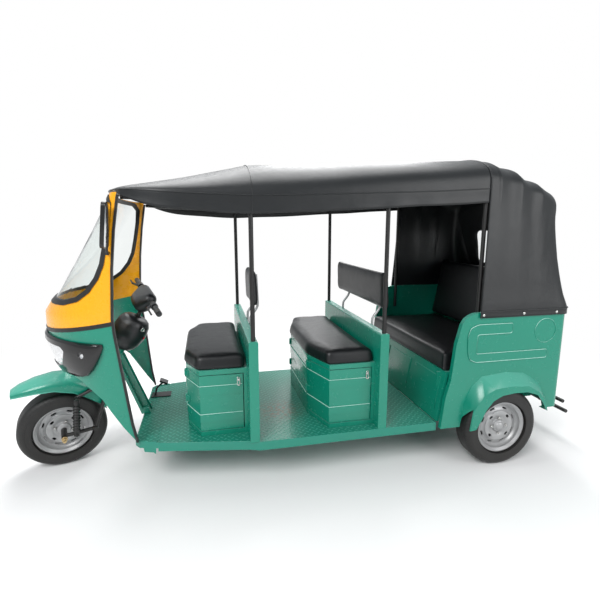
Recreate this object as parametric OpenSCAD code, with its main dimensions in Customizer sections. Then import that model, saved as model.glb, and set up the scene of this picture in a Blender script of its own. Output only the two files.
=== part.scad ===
// Three-wheeled auto rickshaw with three seat rows, parked with its front wheel turned to the left.
// Units are millimetres, +X points forward, +Y to the vehicle's left and +Z up.
// Stations along X count from the rear axle, and heights are drawn with both axles at axle_z.
// place() then moves the vehicle onto the ground and to the middle of its length.

/* [Wheels] */
// Radius of the rim flange
rim_r = 167; // [160:1:175]
// Height of the tyre's sidewall from the rim flange to the tread
sidewall = 87; // [80:1:92]
// Width of each tyre
tyre_w = 145; // [125:1:150]
// Radius of the shoulder between tread and sidewall
tyre_shoulder = 38; // [20:1:42]

/* [Steering] */
// Lean of the steering axis from the vertical, in degrees
rake = 30; // [28:1:31]
// Distance from the front axle forward to where the steering axis meets the ground
head_lead = 50; // [42:1:58]
// Turn of the parked front wheel to the left, in degrees
steer_rest = 20; // [0:1:25]
// Radius of the steering stem
stem_r = 14; // [12:0.5:16]
// Half width of the handlebar
bar_half = 360; // [330:1:380]

/* [Cabin lengths] */
// Station of the foot of the rear seat's front panel
seat_foot_x = 414; // [406:1:424]
// Clear floor between the rear seat and the wall of the middle bench
rear_legroom = 345; // [300:5:420]
// Thickness of the two bench walls
wall_t = 54; // [44:1:60]
// Depth of the middle storage box
middle_depth = 370; // [340:5:400]
// Clear floor between the middle box and the wall of the driver's bench
middle_legroom = 354; // [300:2:420]
// Depth of the driver's storage box
driver_depth = 355; // [330:5:380]
// Clear floor between the driver's box and the lower rear corner of the fairing
driver_legroom = 275; // [240:5:330]
// Distance from that corner of the fairing forward to the front axle
axle_lead = 519; // [510:1:528]

/* [Cabin heights and widths] */
// Height of the floor
floor_z = 298; // [294:1:306]
// Depth of the sills below the floor
sill_h = 54; // [46:1:60]
// Half width of the floor and the bench walls
side_y = 591; // [575:1:610]
// Height of the storage boxes above the floor
box_h = 402; // [380:2:420]
// Thickness of the storage boxes' walls
box_t = 14; // [10:1:18]
// Height of the bench walls above the floor
wall_h = 596; // [570:2:620]
// Thickness of the bench cushions
cushion_t = 88; // [70:2:100]

/* [Front body] */
// Thickness of the front fairing's double skin
fairing_t = 10; // [8:1:14]
// Width of the rubber seal round the glass
seal_w = 24; // [18:1:28]

/* [Canopy] */
// Thickness of the canopy's padded vinyl
canopy_t = 8; // [5:1:8]
// Radius of the canopy's posts
frame_tube_r = 12.5; // [10:0.5:12.5]
// Station where the roof meets the rear hood
bow_x = 155; // [148:1:162]

/* [Rear body] */
// How far the rear body's sides stand out beyond the floor
body_step = 31; // [28:1:34]
// Thickness of the rear body's walls
body_t = 30; // [26:1:30]
// How far the middles of the rear tyres lie outside the floor's side
track_out = 14; // [8:1:18]
// How far the wheel arch flares stand out beyond the tyres
flare_out = 14.5; // [12:0.5:20]
// Height of the top of the rear body's walls
body_top = 1000; // [994:1:1010]
// Radius of the rear body's upright corners
body_corner = 45; // [40:1:50]
// Radius of the bumper tubes
bumper_r = 13; // [11:0.5:15]

/* [Hidden] */

$fn = 48;
// Gap between pieces that are seated against each other
seat = 0.3;
// Play between an axle and the bore that runs on it
fit = 0.05;
// Half width of a cutting block that passes the whole vehicle
past = 800;
// Height of both axles in the drawing
axle_z = 254;
// Height of the rolled lip on the floor's front section
lip_h = 5;

green = [0.13, 0.59, 0.48];
yellow = [0.99, 0.74, 0.07];
black = [0.1, 0.1, 0.11];
grey = [0.3, 0.31, 0.33];
silver = [0.75, 0.76, 0.77];

// Stations that follow from the cabin lengths, rear to front
wall_2_x = seat_foot_x + rear_legroom + wall_t;
wall_1_x = wall_2_x + middle_depth + middle_legroom + wall_t;
cowl_x = wall_1_x + driver_depth + driver_legroom;
wheelbase = cowl_x + axle_lead;
head_x = wheelbase + head_lead;

// Widths and heights that follow from the floor
body_y = side_y + body_step;
track_y = side_y + track_out;
tyre_in_y = track_y - tyre_w / 2;
flare_y = track_y + tyre_w / 2 + flare_out;
canopy_y = side_y + 9;
sill_z = floor_z - sill_h;
box_top = floor_z + box_h;
wall_top = floor_z + wall_h;

// The turned, leaning front wheel still stands on the ground: how far the steering head is lifted for it
tyre_r = rim_r + sidewall;
ride = tyre_r - axle_z;
camber = asin(sin(rake) * sin(steer_rest));
wheel_drop = (tyre_r - tyre_shoulder) * cos(camber) + (tyre_w / 2 - tyre_shoulder) * sin(camber)
    + tyre_shoulder;
axle_along_axis = cos(rake) * axle_z + sin(rake) * head_lead;
turned_z = axle_z * cos(steer_rest) + cos(rake) * axle_along_axis * (1 - cos(steer_rest));
head_lift = wheel_drop - turned_z - ride;

// Where a point of the steered pieces lies once they are turned
function turned(p) = let (u = [-sin(rake), 0, cos(rake)], q = p - [head_x, 0, 0])
    [head_x, 0, head_lift] + q * cos(steer_rest) + cross(u, q) * sin(steer_rest)
        + u * (u * q) * (1 - cos(steer_rest));

module place() {
    translate([x_shift, 0, ride]) children();
}

// The same, with stations counted from the front axle
module place_front() {
    place() translate([wheelbase, 0, 0]) children();
}

// Both sides: the child as it is and its mirror image
module both_sides() {
    children();
    mirror([0, 1, 0]) children();
}

// What turns with the handlebar, drawn straight ahead
module steered() {
    place() translate([head_x, 0, head_lift])
        rotate(a = steer_rest, v = [-sin(rake), 0, cos(rake)])
            translate([-head_x, 0, 0]) children();
}

// The steering axis as the child's own Z axis, from the ground up, for what stays on the chassis
module on_axis() {
    place() translate([head_x, 0, head_lift]) rotate([0, -rake, 0]) children();
}

// A round bar between two points
module bar(from, to, r) {
    v = to - from;
    translate(from) rotate([0, acos(v[2] / norm(v)), atan2(v[1], v[0])]) cylinder(h = norm(v), r = r);
}

// A side view outline in X and Z, drawn from one Y to another
module side_plate(outline, y_from, y_to) {
    translate([0, y_to, 0]) rotate([90, 0, 0]) linear_extrude(y_to - y_from) polygon(outline);
}

// A front view outline in Y and Z, drawn from one X to another
module front_plate(outline, x_from, x_to) {
    translate([x_from, 0, 0]) rotate([90, 0, 90]) linear_extrude(x_to - x_from) polygon(outline);
}

// A block between two corners
module block(low, high) {
    translate(low) cube(high - low);
}

// The left half of an outline about the X axis, completed with its mirror image
function mirrored(half) = concat(half, [for (k = [len(half) - 1:-1:0]) [half[k][0], -half[k][1]]]);

// An outline whose points run counterclockwise, moved inwards by d
function inset(pts, d) = let (n = len(pts)) [for (k = [0:n - 1])
    let (a = pts[(k + n - 1) % n], p = pts[k], b = pts[(k + 1) % n],
         u = (p - a) / norm(p - a), v = (b - p) / norm(b - p),
         nu = [-u[1], u[0]], nv = [-v[1], v[0]])
    p + d * (nu + nv) / (1 + nu * nv)];

// An outline with its corners rounded over a reach, in short chords
function rounded(pts, reach, steps = 4) = let (n = len(pts)) [for (k = [0:n - 1])
    let (a = pts[(k + n - 1) % n], p = pts[k], b = pts[(k + 1) % n],
         u = reach * (a - p) / norm(a - p), v = reach * (b - p) / norm(b - p))
    for (s = [0:steps]) let (t = s / steps) p + (1 - t) * (1 - t) * u + t * t * v];
function rectangle(u0, u1, v0, v1) = [[u0, v0], [u1, v0], [u1, v1], [u0, v1]];

// A sheet between an outer and an inner grid of points, closed along its four edges
module sheet_solid(outer, inner) {
    m = len(outer);
    n = len(outer[0]);
    points = concat([for (row = outer) each row], [for (row = inner) each row]);
    function a(j, i) = j * n + i;
    function b(j, i) = m * n + j * n + i;
    faces = concat(
        [for (j = [0:m - 2], i = [0:n - 2]) [a(j, i), a(j, i + 1), a(j + 1, i + 1)]],
        [for (j = [0:m - 2], i = [0:n - 2]) [a(j, i), a(j + 1, i + 1), a(j + 1, i)]],
        [for (j = [0:m - 2], i = [0:n - 2]) [b(j, i), b(j + 1, i + 1), b(j, i + 1)]],
        [for (j = [0:m - 2], i = [0:n - 2]) [b(j, i), b(j + 1, i), b(j + 1, i + 1)]],
        [for (j = [0:m - 2]) [a(j, 0), a(j + 1, 0), b(j + 1, 0)]],
        [for (j = [0:m - 2]) [a(j, 0), b(j + 1, 0), b(j, 0)]],
        [for (j = [0:m - 2]) [a(j, n - 1), b(j + 1, n - 1), a(j + 1, n - 1)]],
        [for (j = [0:m - 2]) [a(j, n - 1), b(j, n - 1), b(j + 1, n - 1)]],
        [for (i = [0:n - 2]) [a(0, i), b(0, i + 1), a(0, i + 1)]],
        [for (i = [0:n - 2]) [a(0, i), b(0, i), b(0, i + 1)]],
        [for (i = [0:n - 2]) [a(m - 1, i), a(m - 1, i + 1), b(m - 1, i + 1)]],
        [for (i = [0:n - 2]) [a(m - 1, i), b(m - 1, i + 1), b(m - 1, i)]]);
    polyhedron(points, faces);
}

// A solid through closed rings of as many points each, ends capped
module ring_loft(rings) {
    last = len(rings) - 1;
    sides = len(rings[0]);
    points = [for (ring = rings) each ring];
    faces = concat(
        [[for (s = [0:sides - 1]) s]],
        [for (k = [0:last - 1], s = [0:sides - 1])
            [k * sides + s, (k + 1) * sides + s, (k + 1) * sides + (s + 1) % sides]],
        [for (k = [0:last - 1], s = [0:sides - 1])
            [k * sides + s, (k + 1) * sides + (s + 1) % sides, k * sides + (s + 1) % sides]],
        [[for (s = [0:sides - 1]) last * sides + sides - 1 - s]]);
    polyhedron(points, faces);
}

// A bent tube through points that lie in one plane, whose normal is across
module bent_tube(path, r, across, sides = 8) {
    last = len(path) - 1;
    ring_loft([for (k = [0:last])
        let (ahead = path[min(k + 1, last)] - path[max(k - 1, 0)],
             along = ahead / norm(ahead),
             out = cross(along, across))
        [for (s = [0:sides - 1]) path[k] + r * (cos(360 * s / sides) * across + sin(360 * s / sides) *
            out)]]);
}

// One point of a rounded arch of unit size, from its right foot over the top to its left foot
function arch_point(a, n) = [cos(a) < 0 ? -pow(-cos(a), 2 / n) : pow(cos(a), 2 / n), pow(sin(a), 2 / n)];

// Fairing sections by height, with stations from the front axle: its nose, its rear edge,
// and how far its sides stand in from the floor's
fairing_nose = [[270, -190], [650, -72], [950, 9], [1040, 6], [1090, -28], [1133, -68], [1690, -422]];
fairing_rear = [[270, -519], [426, -493], [1014, -437], [1400, -462], [1651, -504], [1690, -512]];
fairing_in = [[270, 139], [650, 113], [1000, 89], [1690, 91]];
fairing_levels = [270, 420, 560, 700, 850, 950, 1040, 1090, 1133, 1300, 1500, 1651, 1690];
fairing_steps = 24;

// The point of the fairing at one height and angle from straight ahead, out beyond its surface
function fairing_point(z, angle, out) = let (rear = lookup(z, fairing_rear))
    [rear + (lookup(z, fairing_nose) - rear + out) * cos(angle),
     (side_y - lookup(z, fairing_in) + out) * sin(angle), z];
function fairing_row(z, out) = [for (k = [0:fairing_steps]) fairing_point(z, 90 - 180 * k / fairing_steps,
    out)];

// The fairing's wrap-round skin, out beyond its surface and t thick
module fairing_skin(out, t) {
    sheet_solid([for (z = fairing_levels) fairing_row(z, out)],
        [for (z = fairing_levels) fairing_row(z, out - t)]);
}

// The joint between the lower and the upper fairing slopes down to the front
joint_front = [140, 920];
joint_rear = [-640, 1046];
function joint_line(up) = [joint_rear + [0, up], joint_front + [0, up]];
module below_joint(up) {
    side_plate(concat(joint_line(up), [[140, 100], [-640, 100]]), -past, past);
}

// Wheel opening of the lower fairing, and the rear edge of the windscreen's opening
shield_cut = [[-640, 150], [-640, 262], [-560, 268], [-514, 313], [-462, 389], [-401, 489], [-351, 576],
    [-295, 629], [-240, 675], [-178, 703], [160, 703], [160, 150]];
glass_edge = [[100, 1668], [-400, 1668], [-446, 1660], [-458, 1630], [-448, 1550], [-425, 1430],
    [-402, 1330],
    [-370, 1260], [-320, 1195], [-260, 1152], [-180, 1128], [-100, 1122], [100, 1122]];

module front_fairing() {
    color(green) place_front() difference() {
        intersection() {
            fairing_skin(0, fairing_t);
            below_joint(0);
        }
        side_plate(shield_cut, -past, past);
    }
}

module windscreen_surround() {
    color(yellow) place_front() difference() {
        fairing_skin(0, fairing_t);
        below_joint(seat);
        side_plate(inset(glass_edge, -seal_w), -past, past);
    }
}

module windscreen() {
    color([0.8, 0.87, 0.87]) place_front() intersection() {
        fairing_skin(-3, 5);
        side_plate(glass_edge, -past, past);
    }
}

// Black rubber: the seal round the glass, the band over the joint and the strips on the rear edges
trim_proud = 5;
edge_w = 12;
strip_low = floor_z + lip_h + 3;
strip_high = 1676;
function edge_ring(z) = let (x = lookup(z, fairing_rear), y = side_y - lookup(z, fairing_in))
    [[x - edge_w, y + trim_proud, z], [x - edge_w, y - fairing_t - trim_proud, z],
     [x - seat, y - fairing_t - trim_proud, z], [x - seat, y + trim_proud, z]];
module fairing_trim() {
    color(black) place_front() {
        difference() {
            intersection() {
                fairing_skin(trim_proud, fairing_t + trim_proud);
                side_plate(inset(glass_edge, -seal_w), -past, past);
            }
            side_plate(glass_edge, -past, past);
        }
        intersection() {
            fairing_skin(3, 3 - seat);
            side_plate([joint_rear + [0, -12], joint_front + [0, -12], joint_front + [0, 10],
                joint_rear + [0, 10]],
                -past, past);
        }
        both_sides() ring_loft([for (z = concat([strip_low],
            [for (z = fairing_levels) if (z > strip_low && z < strip_high) z],
            [strip_high])) edge_ring(z)]);
    }
}

// Headlamp housing: a cushion-shaped shell on the fairing. Each column stands at one angle from straight
// ahead, between its lower and its upper height.
lamp_low = [[13, 752], [24, 730], [36, 706], [58, 704], [66, 722], [72, 760], [78, 822], [82, 884]];
lamp_high = [[13, 930], [82, 903]];
lamp_columns = [13, 15, 20, 26, 33, 40, 47, 54, 60, 66, 71, 75, 79, 82];
lamp_rows = [0, 0.05, 0.15, 0.3, 0.5, 0.7, 0.85, 0.95, 1];
lamp_bulge = 34;
lamp_edge = 10;
lamp_seat = 1.3;
function swell(t) = pow(max(0, 1 - pow(abs(2 * t - 1), 4)), 0.5);
function lamp_grid(drop) = [for (v = lamp_rows) [for (k = [len(lamp_columns) - 1:-1:0])
    let (a = lamp_columns[k],
         low = lookup(a, lamp_low),
         across = (a - lamp_columns[0]) / (lamp_columns[len(lamp_columns) - 1] - lamp_columns[0]))
    fairing_point(low + v * (lookup(a, lamp_high) - low), a,
        lamp_edge + (lamp_bulge - lamp_edge) * swell(v) * swell(across) - drop)]];
function lamp_back(out) = [for (v = lamp_rows) [for (k = [len(lamp_columns) - 1:-1:0])
    let (a = lamp_columns[k], low = lookup(a, lamp_low))
    fairing_point(low + v * (lookup(a, lamp_high) - low), a, out)]];

// Headlamp opening in the side view, with stations from the front axle, and the round turn lamp's place
lens_outline = rounded([[60, 760], [60, 896], [-150, 880], [-172, 858], [-144, 766], [-116, 756]], 9);
lens_in_y = 150;
turn_lamp = [-278, 470, 842];
turn_lamp_r = 17;

module headlamp_housings() {
    color(black) place_front() both_sides() difference() {
        sheet_solid(lamp_grid(0), lamp_back(lamp_seat));
        side_plate(lens_outline, lens_in_y, past);
        translate(turn_lamp) rotate([-78, 0, -35]) cylinder(h = 60, r = turn_lamp_r);
    }
}

module headlamp_lenses() {
    color(silver) place_front() both_sides() {
        intersection() {
            sheet_solid(lamp_grid(5), lamp_back(lamp_seat));
            side_plate(inset(lens_outline, seat), lens_in_y + seat, past);
        }
        translate(turn_lamp) rotate([-78, 0, -35]) translate([0, 0, seat]) cylinder(h = 8,
            r = turn_lamp_r - seat);
    }
}

// Head tube and cowl heights along the steering axis
head_low_s = 700;
head_high_s = 860;
head_tube_r = 30;
cowl_top_s = head_high_s + 228;

// Barrel-shaped cowl on the head tube, its profile as radius and distance along the axis, with the
// ignition switch and a push button on its rear
module steering_cowl() {
    color(grey) on_axis() {
        rotate_extrude() polygon([[stem_r + 10, head_high_s + seat], [58, head_high_s + 4],
            [78, head_high_s + 26],
            [94, head_high_s + 62], [104, head_high_s + 104], [106, head_high_s + 140],
                [98, head_high_s + 184],
            [84, head_high_s + 210], [66, cowl_top_s - 6], [44, cowl_top_s], [stem_r + 10, cowl_top_s]]);
        for (knob = [[128, 184, 15], [152, 128, 9]])
            rotate([0, 0, knob[0]]) translate([80, 0, head_high_s + knob[1]]) rotate([0, 90, 0])
                cylinder(h = 32, r = knob[2]);
    }
}

// Two folded braces under the steering head, with the head tube that the stem runs in
brace = [[cowl_x - 26, floor_z + seat], [cowl_x + 32, floor_z + seat], [cowl_x + 176, 700],
    [cowl_x + 148, 722],
    [cowl_x + 126, 700]];
brace_y = 25;
brace_w = 30;
module column_bracket() {
    color(green) on_axis() difference() {
        translate([0, 0, head_low_s]) cylinder(h = head_high_s - head_low_s, r = head_tube_r);
        translate([0, 0, head_low_s - 10]) cylinder(h = head_high_s - head_low_s + 20, r = stem_r + fit);
    }
    color(green) place() both_sides() difference() {
        side_plate(brace, brace_y, brace_y + brace_w);
        translate([-6, 0, 40]) side_plate(inset(brace, -2), brace_y + 5, brace_y + brace_w + 1);
    }
}

// Brake pedal to the right of the column on its own floor plate
module brake_pedal() {
    color(green) place() block([cowl_x - 131, -300, floor_z + seat], [cowl_x + 6, -210, floor_z + seat + 5]);
    color(black) place() {
        bent_tube([[cowl_x - 20, -255, floor_z + seat + 3], [cowl_x - 30, -255, floor_z + 50],
            [cowl_x - 60, -255, floor_z + 82], [cowl_x - 88, -255, floor_z + 96]], 7, [0, 1, 0]);
        translate([cowl_x - 82, -255, floor_z + 96]) rotate([0, -25, 0])
            linear_extrude(14) polygon(rounded(rectangle(-30, 30, -32, 32), 12));
    }
}

// Floor outline in X and Y, left half, front to rear
floor_half = [[cowl_x + 19, side_y - 186], [cowl_x - 6, side_y - 151], [cowl_x - 125, side_y - 118],
    [wall_1_x, side_y - 23], [wall_1_x - wall_t, side_y], [seat_foot_x + 4, side_y]];
floor_t = 6;
flange_t = 8;
// The front section ends at a seam, has a shallower sill and a rolled lip along its sides
seam_x = cowl_x - 111;
front_sill_h = 36;
lip_w = 12;
module floor() {
    outline = mirrored(floor_half);
    color(green) place() difference() {
        union() {
            translate([0, 0, sill_z]) linear_extrude(sill_h) polygon(outline);
            translate([0, 0, floor_z]) linear_extrude(lip_h) intersection() {
                difference() {
                    polygon(outline);
                    polygon(inset(outline, lip_w));
                }
                both_sides() translate([seam_x + 8, side_y - 240]) square([400, 400]);
            }
        }
        translate([0, 0, sill_z - 1]) linear_extrude(sill_h - floor_t + 1) polygon(inset(outline, flange_t));
        block([seat_foot_x, -side_y + flange_t, sill_z - 1], [seat_foot_x + 20, side_y - flange_t,
            floor_z - floor_t]);
        block([seam_x, -past, sill_z - 1], [seam_x + 400, past, floor_z - front_sill_h]);
        block([seam_x + 2, -past, floor_z - 2], [seam_x + 5, past, floor_z + 1]);
    }
    // Folded tab that carries the fairing's foot
    color(green) place() intersection() {
        translate([0, 0, sill_z - 40]) linear_extrude(sill_h - front_sill_h + 41) difference() {
            polygon(outline);
            polygon(inset(outline, flange_t));
        }
        side_plate([[cowl_x - 104, floor_z], [cowl_x - 96, floor_z - 72], [cowl_x - 84, floor_z - 62],
            [cowl_x - 32, floor_z - 60], [cowl_x - 22, floor_z]], -past, past);
    }
}

// Two rails under the floor that rise over the rear axle, cross members and spring hangers
rail_y = tyre_in_y - 252.5;
rail_w = 40;
rail_h = 40;
rail_under = 39;
rise_x = 318;
axle_rail_z = axle_z + 78;
rear_wall_x = -462;
rear_wall_t = 22;
rail_end_x = rear_wall_x + rear_wall_t + seat;
rail_side = [[cowl_x + 4, sill_z - rail_under], [cowl_x + 4, floor_z - floor_t - seat],
    [cowl_x - 101, sill_z + 1], [seat_foot_x + 26, sill_z + 1], [rise_x + 12, axle_rail_z + rail_h],
    [rail_end_x, axle_rail_z + rail_h], [rail_end_x, axle_rail_z], [rise_x, axle_rail_z],
    [seat_foot_x + 11, sill_z - rail_under]];
spring_y = rail_y + 95;
spring_half = 350;
spring_eye_z = axle_z + 70;
hanger_pin_r = 8;
module chassis_frame() {
    color(black) place() {
        both_sides() {
            side_plate(rail_side, rail_y - rail_w / 2, rail_y + rail_w / 2);
            for (x = [-spring_half, spring_half]) {
                block([x - 16, rail_y + rail_w / 2 - 4, spring_eye_z - 14],
                    [x + 16, rail_y + rail_w / 2 + 6, axle_rail_z + 20]);
                translate([x, rail_y + rail_w / 2, spring_eye_z]) rotate([-90, 0, 0])
                    cylinder(h = spring_y - rail_y - rail_w / 2 + 32, r = hanger_pin_r);
            }
        }
        for (x = [seat_foot_x + 86, wall_2_x + 187, wall_1_x - 41, cowl_x - 141])
            block([x, -rail_y, sill_z - rail_under + 5], [x + 40, rail_y, sill_z]);
        for (x = [rear_wall_x + rear_wall_t + 4, rise_x - 48])
            block([x, -rail_y, axle_rail_z + 3], [x + 35, rail_y, axle_rail_z + rail_h - 3]);
    }
}

// Storage boxes: the depth of the chamfered front corners, and the half width of the front face
chamfer_x = 80;
box_front_y = 270;
driver_y = side_y - 141;
middle_y = side_y - 76;
door_gap = 5;
door_margin = 28;
door_rear_margin = 20;
door_front_margin = 10;
pin_r = 3;
knuckle_r = 5;
hinge_levels = [floor_z + 180, floor_z + 342];
hinge_len = 34;
hinge_out = [6, 4];
latch_level = floor_z + 322;
// Pressed bands round each box, as height above the floor and width
bands = [[86, 50], [252, 56]];
band_proud = 3;

// Outline of a box in X and Y: from its wall, its depth and its half width
function box_half(x, depth, y) = [[x + depth, box_front_y], [x + depth - chamfer_x, y], [x + seat, y]];
// The part of that outline which its left door takes up, drawn in from the door's edges by a gap
function door_zone(x, depth, y, gap) =
    let (corner = [x + depth, box_front_y],
         d = [-chamfer_x, y - box_front_y] / norm([-chamfer_x, y - box_front_y]),
         n = [d[1], -d[0]],
         a = corner + (door_front_margin + gap) * d)
    [a - 60 * n, a + 60 * n, [x + depth - chamfer_x + 60, y + 60], [x + door_rear_margin + gap, y + 60],
     [x + door_rear_margin + gap, y - 60], [x + depth - chamfer_x - 40, y - 60]];

module box_shell(x, depth, y, low, high) {
    difference() {
        translate([0, 0, low]) linear_extrude(high - low) polygon(mirrored(box_half(x, depth, y)));
        translate([0, 0, low - 1]) linear_extrude(high - low + 2)
            polygon(inset(mirrored(box_half(x, depth, y)), box_t));
    }
}

// The bands that run round the box, standing out from its faces
module box_bands(x, depth, y) {
    outline = mirrored([[x + depth, box_front_y], [x + depth - chamfer_x, y], [x + 24, y]]);
    for (b = bands) difference() {
        translate([0, 0, floor_z + b[0]]) linear_extrude(b[1]) polygon(inset(outline, -band_proud));
        translate([0, 0, floor_z + b[0] - 1]) linear_extrude(b[1] + 2) polygon(inset(outline, 1));
        block([x - 10, -past, floor_z], [x + 23.9, past, box_top]);
    }
}

module storage_box(x, depth, y) {
    difference() {
        union() {
            box_shell(x, depth, y, floor_z + seat, box_top);
            for (z = [floor_z + seat, box_top - box_t])
                translate([0, 0, z]) linear_extrude(box_t) polygon(inset(mirrored(box_half(x, depth, y)),
                    1));
            box_bands(x, depth, y);
        }
        both_sides() translate([0, 0, floor_z + door_margin]) linear_extrude(box_h - 2 * door_margin)
            polygon(door_zone(x, depth, y, 0));
    }
    // Hinge pins stand on small lugs at the front corners
    both_sides() for (z = hinge_levels) translate([x + depth, box_front_y, z]) {
        translate([hinge_out[0], hinge_out[1], -hinge_len / 2 - 8]) cylinder(h = hinge_len + 16, r = pin_r);
        for (end = [-1, 1])
            block([-2, -4, end * (hinge_len / 2 + 4) - 3.5],
                [hinge_out[0] + pin_r, hinge_out[1] + pin_r, end * (hinge_len / 2 + 4) + 3.5]);
    }
}

module storage_door(x, depth, y) {
    d = [-chamfer_x, y - box_front_y] / norm([-chamfer_x, y - box_front_y]);
    difference() {
        union() {
            intersection() {
                union() {
                    box_shell(x, depth, y, floor_z, box_top);
                    box_bands(x, depth, y);
                }
                translate([0, 0, floor_z + door_margin + door_gap])
                    linear_extrude(box_h - 2 * door_margin - 2 * door_gap) polygon(door_zone(x, depth, y,
                        door_gap));
            }
            for (z = hinge_levels) translate([x + depth, box_front_y, z]) {
                translate([hinge_out[0], hinge_out[1], -hinge_len / 2]) cylinder(h = hinge_len,
                    r = knuckle_r);
                // Hinge leaf from the knuckle over the chamfered face
                translate([0, 0, -hinge_len / 2]) linear_extrude(hinge_len) rotate(atan2(d[1], d[0]))
                    polygon([[-1, -seat - 5], [-1, -seat - 0.5], [15, -seat - 0.5], [15, 1], [44, 1],
                        [44, -3], [4, -seat - 7]]);
            }
            // Latch plate and its turned-out handle near the rear edge
            block([x + door_rear_margin + door_gap + 16, y - 1, latch_level - 20],
                [x + door_rear_margin + door_gap + 36, y + 4, latch_level + 20]);
            block([x + door_rear_margin + door_gap + 21, y + 3, latch_level - 12],
                [x + door_rear_margin + door_gap + 31, y + 11, latch_level + 6]);
        }
        for (z = hinge_levels) translate([x + depth + hinge_out[0], box_front_y + hinge_out[1],
            z - hinge_len / 2 - 1])
            cylinder(h = hinge_len + 2, r = pin_r + fit);
    }
}

module driver_seat_box() {
    color(green) place() storage_box(wall_1_x, driver_depth, driver_y);
}

module middle_seat_box() {
    color(green) place() storage_box(wall_2_x, middle_depth, middle_y);
}

module driver_door_left() {
    color(green) place() storage_door(wall_1_x, driver_depth, driver_y);
}

module driver_door_right() {
    color(green) place() mirror([0, 1, 0]) storage_door(wall_1_x, driver_depth, driver_y);
}

module middle_door_left() {
    color(green) place() storage_door(wall_2_x, middle_depth, middle_y);
}

module middle_door_right() {
    color(green) place() mirror([0, 1, 0]) storage_door(wall_2_x, middle_depth, middle_y);
}

// Bench cushion in two layers, the upper one drawn in at its rounded edge
cushion_over = 11;
module bench_cushion(x, depth, y) {
    outline = rounded(mirrored([[x + depth + cushion_over, box_front_y + 6],
        [x + depth - chamfer_x + cushion_over, y + cushion_over], [x + 1, y + cushion_over]]), 26);
    translate([0, 0, box_top + seat]) linear_extrude(cushion_t - 14) polygon(outline);
    translate([0, 0, box_top + seat + 1]) linear_extrude(cushion_t - 7) polygon(inset(outline, 4));
    translate([0, 0, box_top + seat + 2]) linear_extrude(cushion_t - 2) polygon(inset(outline, 12));
}

module driver_cushion() {
    color(black) place() bench_cushion(wall_1_x, driver_depth, driver_y);
}

module middle_cushion() {
    color(black) place() bench_cushion(wall_2_x, middle_depth, middle_y);
}

// Backrest pad on two bent tubes from the rear face of a bench wall, the path in X and Z from that face
bracket_r = 8;
pad_low = wall_top + 111;
pad_high = wall_top + 356;
pad_t = 50;
bracket_path = [[-bracket_r - seat, 0, wall_top - 94], [-bracket_r - seat, 0, wall_top + 31],
    [-36, 0, wall_top + 68], [-60, 0, wall_top + 106], [-52, 0, pad_high - 35]];
module backrest(x, half, top_half, bracket_y) {
    color(black) place() intersection() {
        side_plate(rounded([[x - 8 - pad_t, pad_low], [x - 8, pad_low], [x, pad_high],
            [x - pad_t, pad_high]], 14), -half, half);
        front_plate(rounded([[-half, pad_low], [half, pad_low], [top_half, pad_high],
            [-top_half, pad_high]], 34), x - 90, x + 20);
    }
    color(silver) place() for (side = [-1, 1])
        translate([x, side * bracket_y, 0]) bent_tube(bracket_path, bracket_r, [0, 1, 0]);
}

module driver_backrest() {
    backrest(wall_1_x - wall_t, 190, 168, 90);
}

module middle_backrest() {
    backrest(wall_2_x - wall_t, side_y - 111, side_y - 123, 300);
}

// Bench walls: closed sheet metal boxes with rounded upper edges
module bench_walls() {
    color(green) place() for (x = [wall_1_x, wall_2_x])
        side_plate(concat([[x - wall_t, floor_z + seat], [x, floor_z + seat]],
            [for (k = [0:6]) [x - 10 + 10 * cos(15 * k), wall_top - 10 + 10 * sin(15 * k)]],
            [for (k = [6:-1:0]) [x - wall_t + 10 - 10 * cos(15 * k), wall_top - 10 + 10 * sin(15 * k)]]),
            -side_y, side_y);
}

module battery_pack() {
    color(grey) place() block([wall_2_x + 57, -middle_y + 185, floor_z + seat + box_t + seat],
        [wall_2_x + middle_depth - 73, middle_y - 185, floor_z + 265]);
}

// Roof sections front to rear: station, half width, drop back towards the sides, height of the valance's
// lower edge, of the side seam and of the centre line, and how square the arch is
header_x = wheelbase - 395;
bow_gap = 2;
roof_table = [
    [header_x, canopy_y - 120, 110, 1694, 1703, 1716, 2.1],
    [header_x - 95, canopy_y - 70, 50, 1672, 1702, 1736, 2.1],
    [header_x - 215, canopy_y - 25, 20, 1636, 1698, 1762, 2.1],
    [header_x - 345, canopy_y, 0, 1612, 1691, 1790, 2.1],
    [wall_1_x + 206, canopy_y, 0, 1596, 1683, 1834, 2.1],
    [wall_1_x + 77, canopy_y, 0, 1588, 1680, 1862, 2.1],
    [wall_1_x - 51, canopy_y, 0, 1586, 1678, 1889, 2.1],
    [wall_1_x - 251, canopy_y, 0, 1592, 1684, 1897, 2.25],
    [(wall_1_x + wall_2_x) / 2 - 62, canopy_y, 0, 1601, 1691, 1905, 2.4],
    [wall_2_x - 22, canopy_y, 0, 1620, 1705, 1919, 2.7],
    [wall_2_x - 333, canopy_y, 0, 1638, 1718, 1932, 2.95],
    [bow_x + bow_gap, canopy_y, 0, 1656, 1738, 1943, 3.15]];
roof_steps = 24;
function roof_at(x, column) = lookup(x, [for (row = roof_table) [row[0], row[column]]]);

// One arch of the roof, drawn in by an inset; its legs reach down to the valance's lower edge
function roof_row(row, inset) =
    let (w = row[1] - inset,
         low = row[4],
         high = row[5] - inset - low,
         arch = [for (k = [0:roof_steps]) arch_point(180 * k / roof_steps, row[6])])
    concat([[row[0] - row[2], w, row[3]]],
        [for (p = arch) [row[0] - row[2] * p[0] * p[0], w * p[0], low + high * p[1]]],
        [[row[0] - row[2], -w, row[3]]]);

module roof_canopy() {
    color(black) place()
        sheet_solid([for (row = roof_table) roof_row(row, 0)],
            [for (row = roof_table) roof_row(row, canopy_t)]);
}

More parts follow.
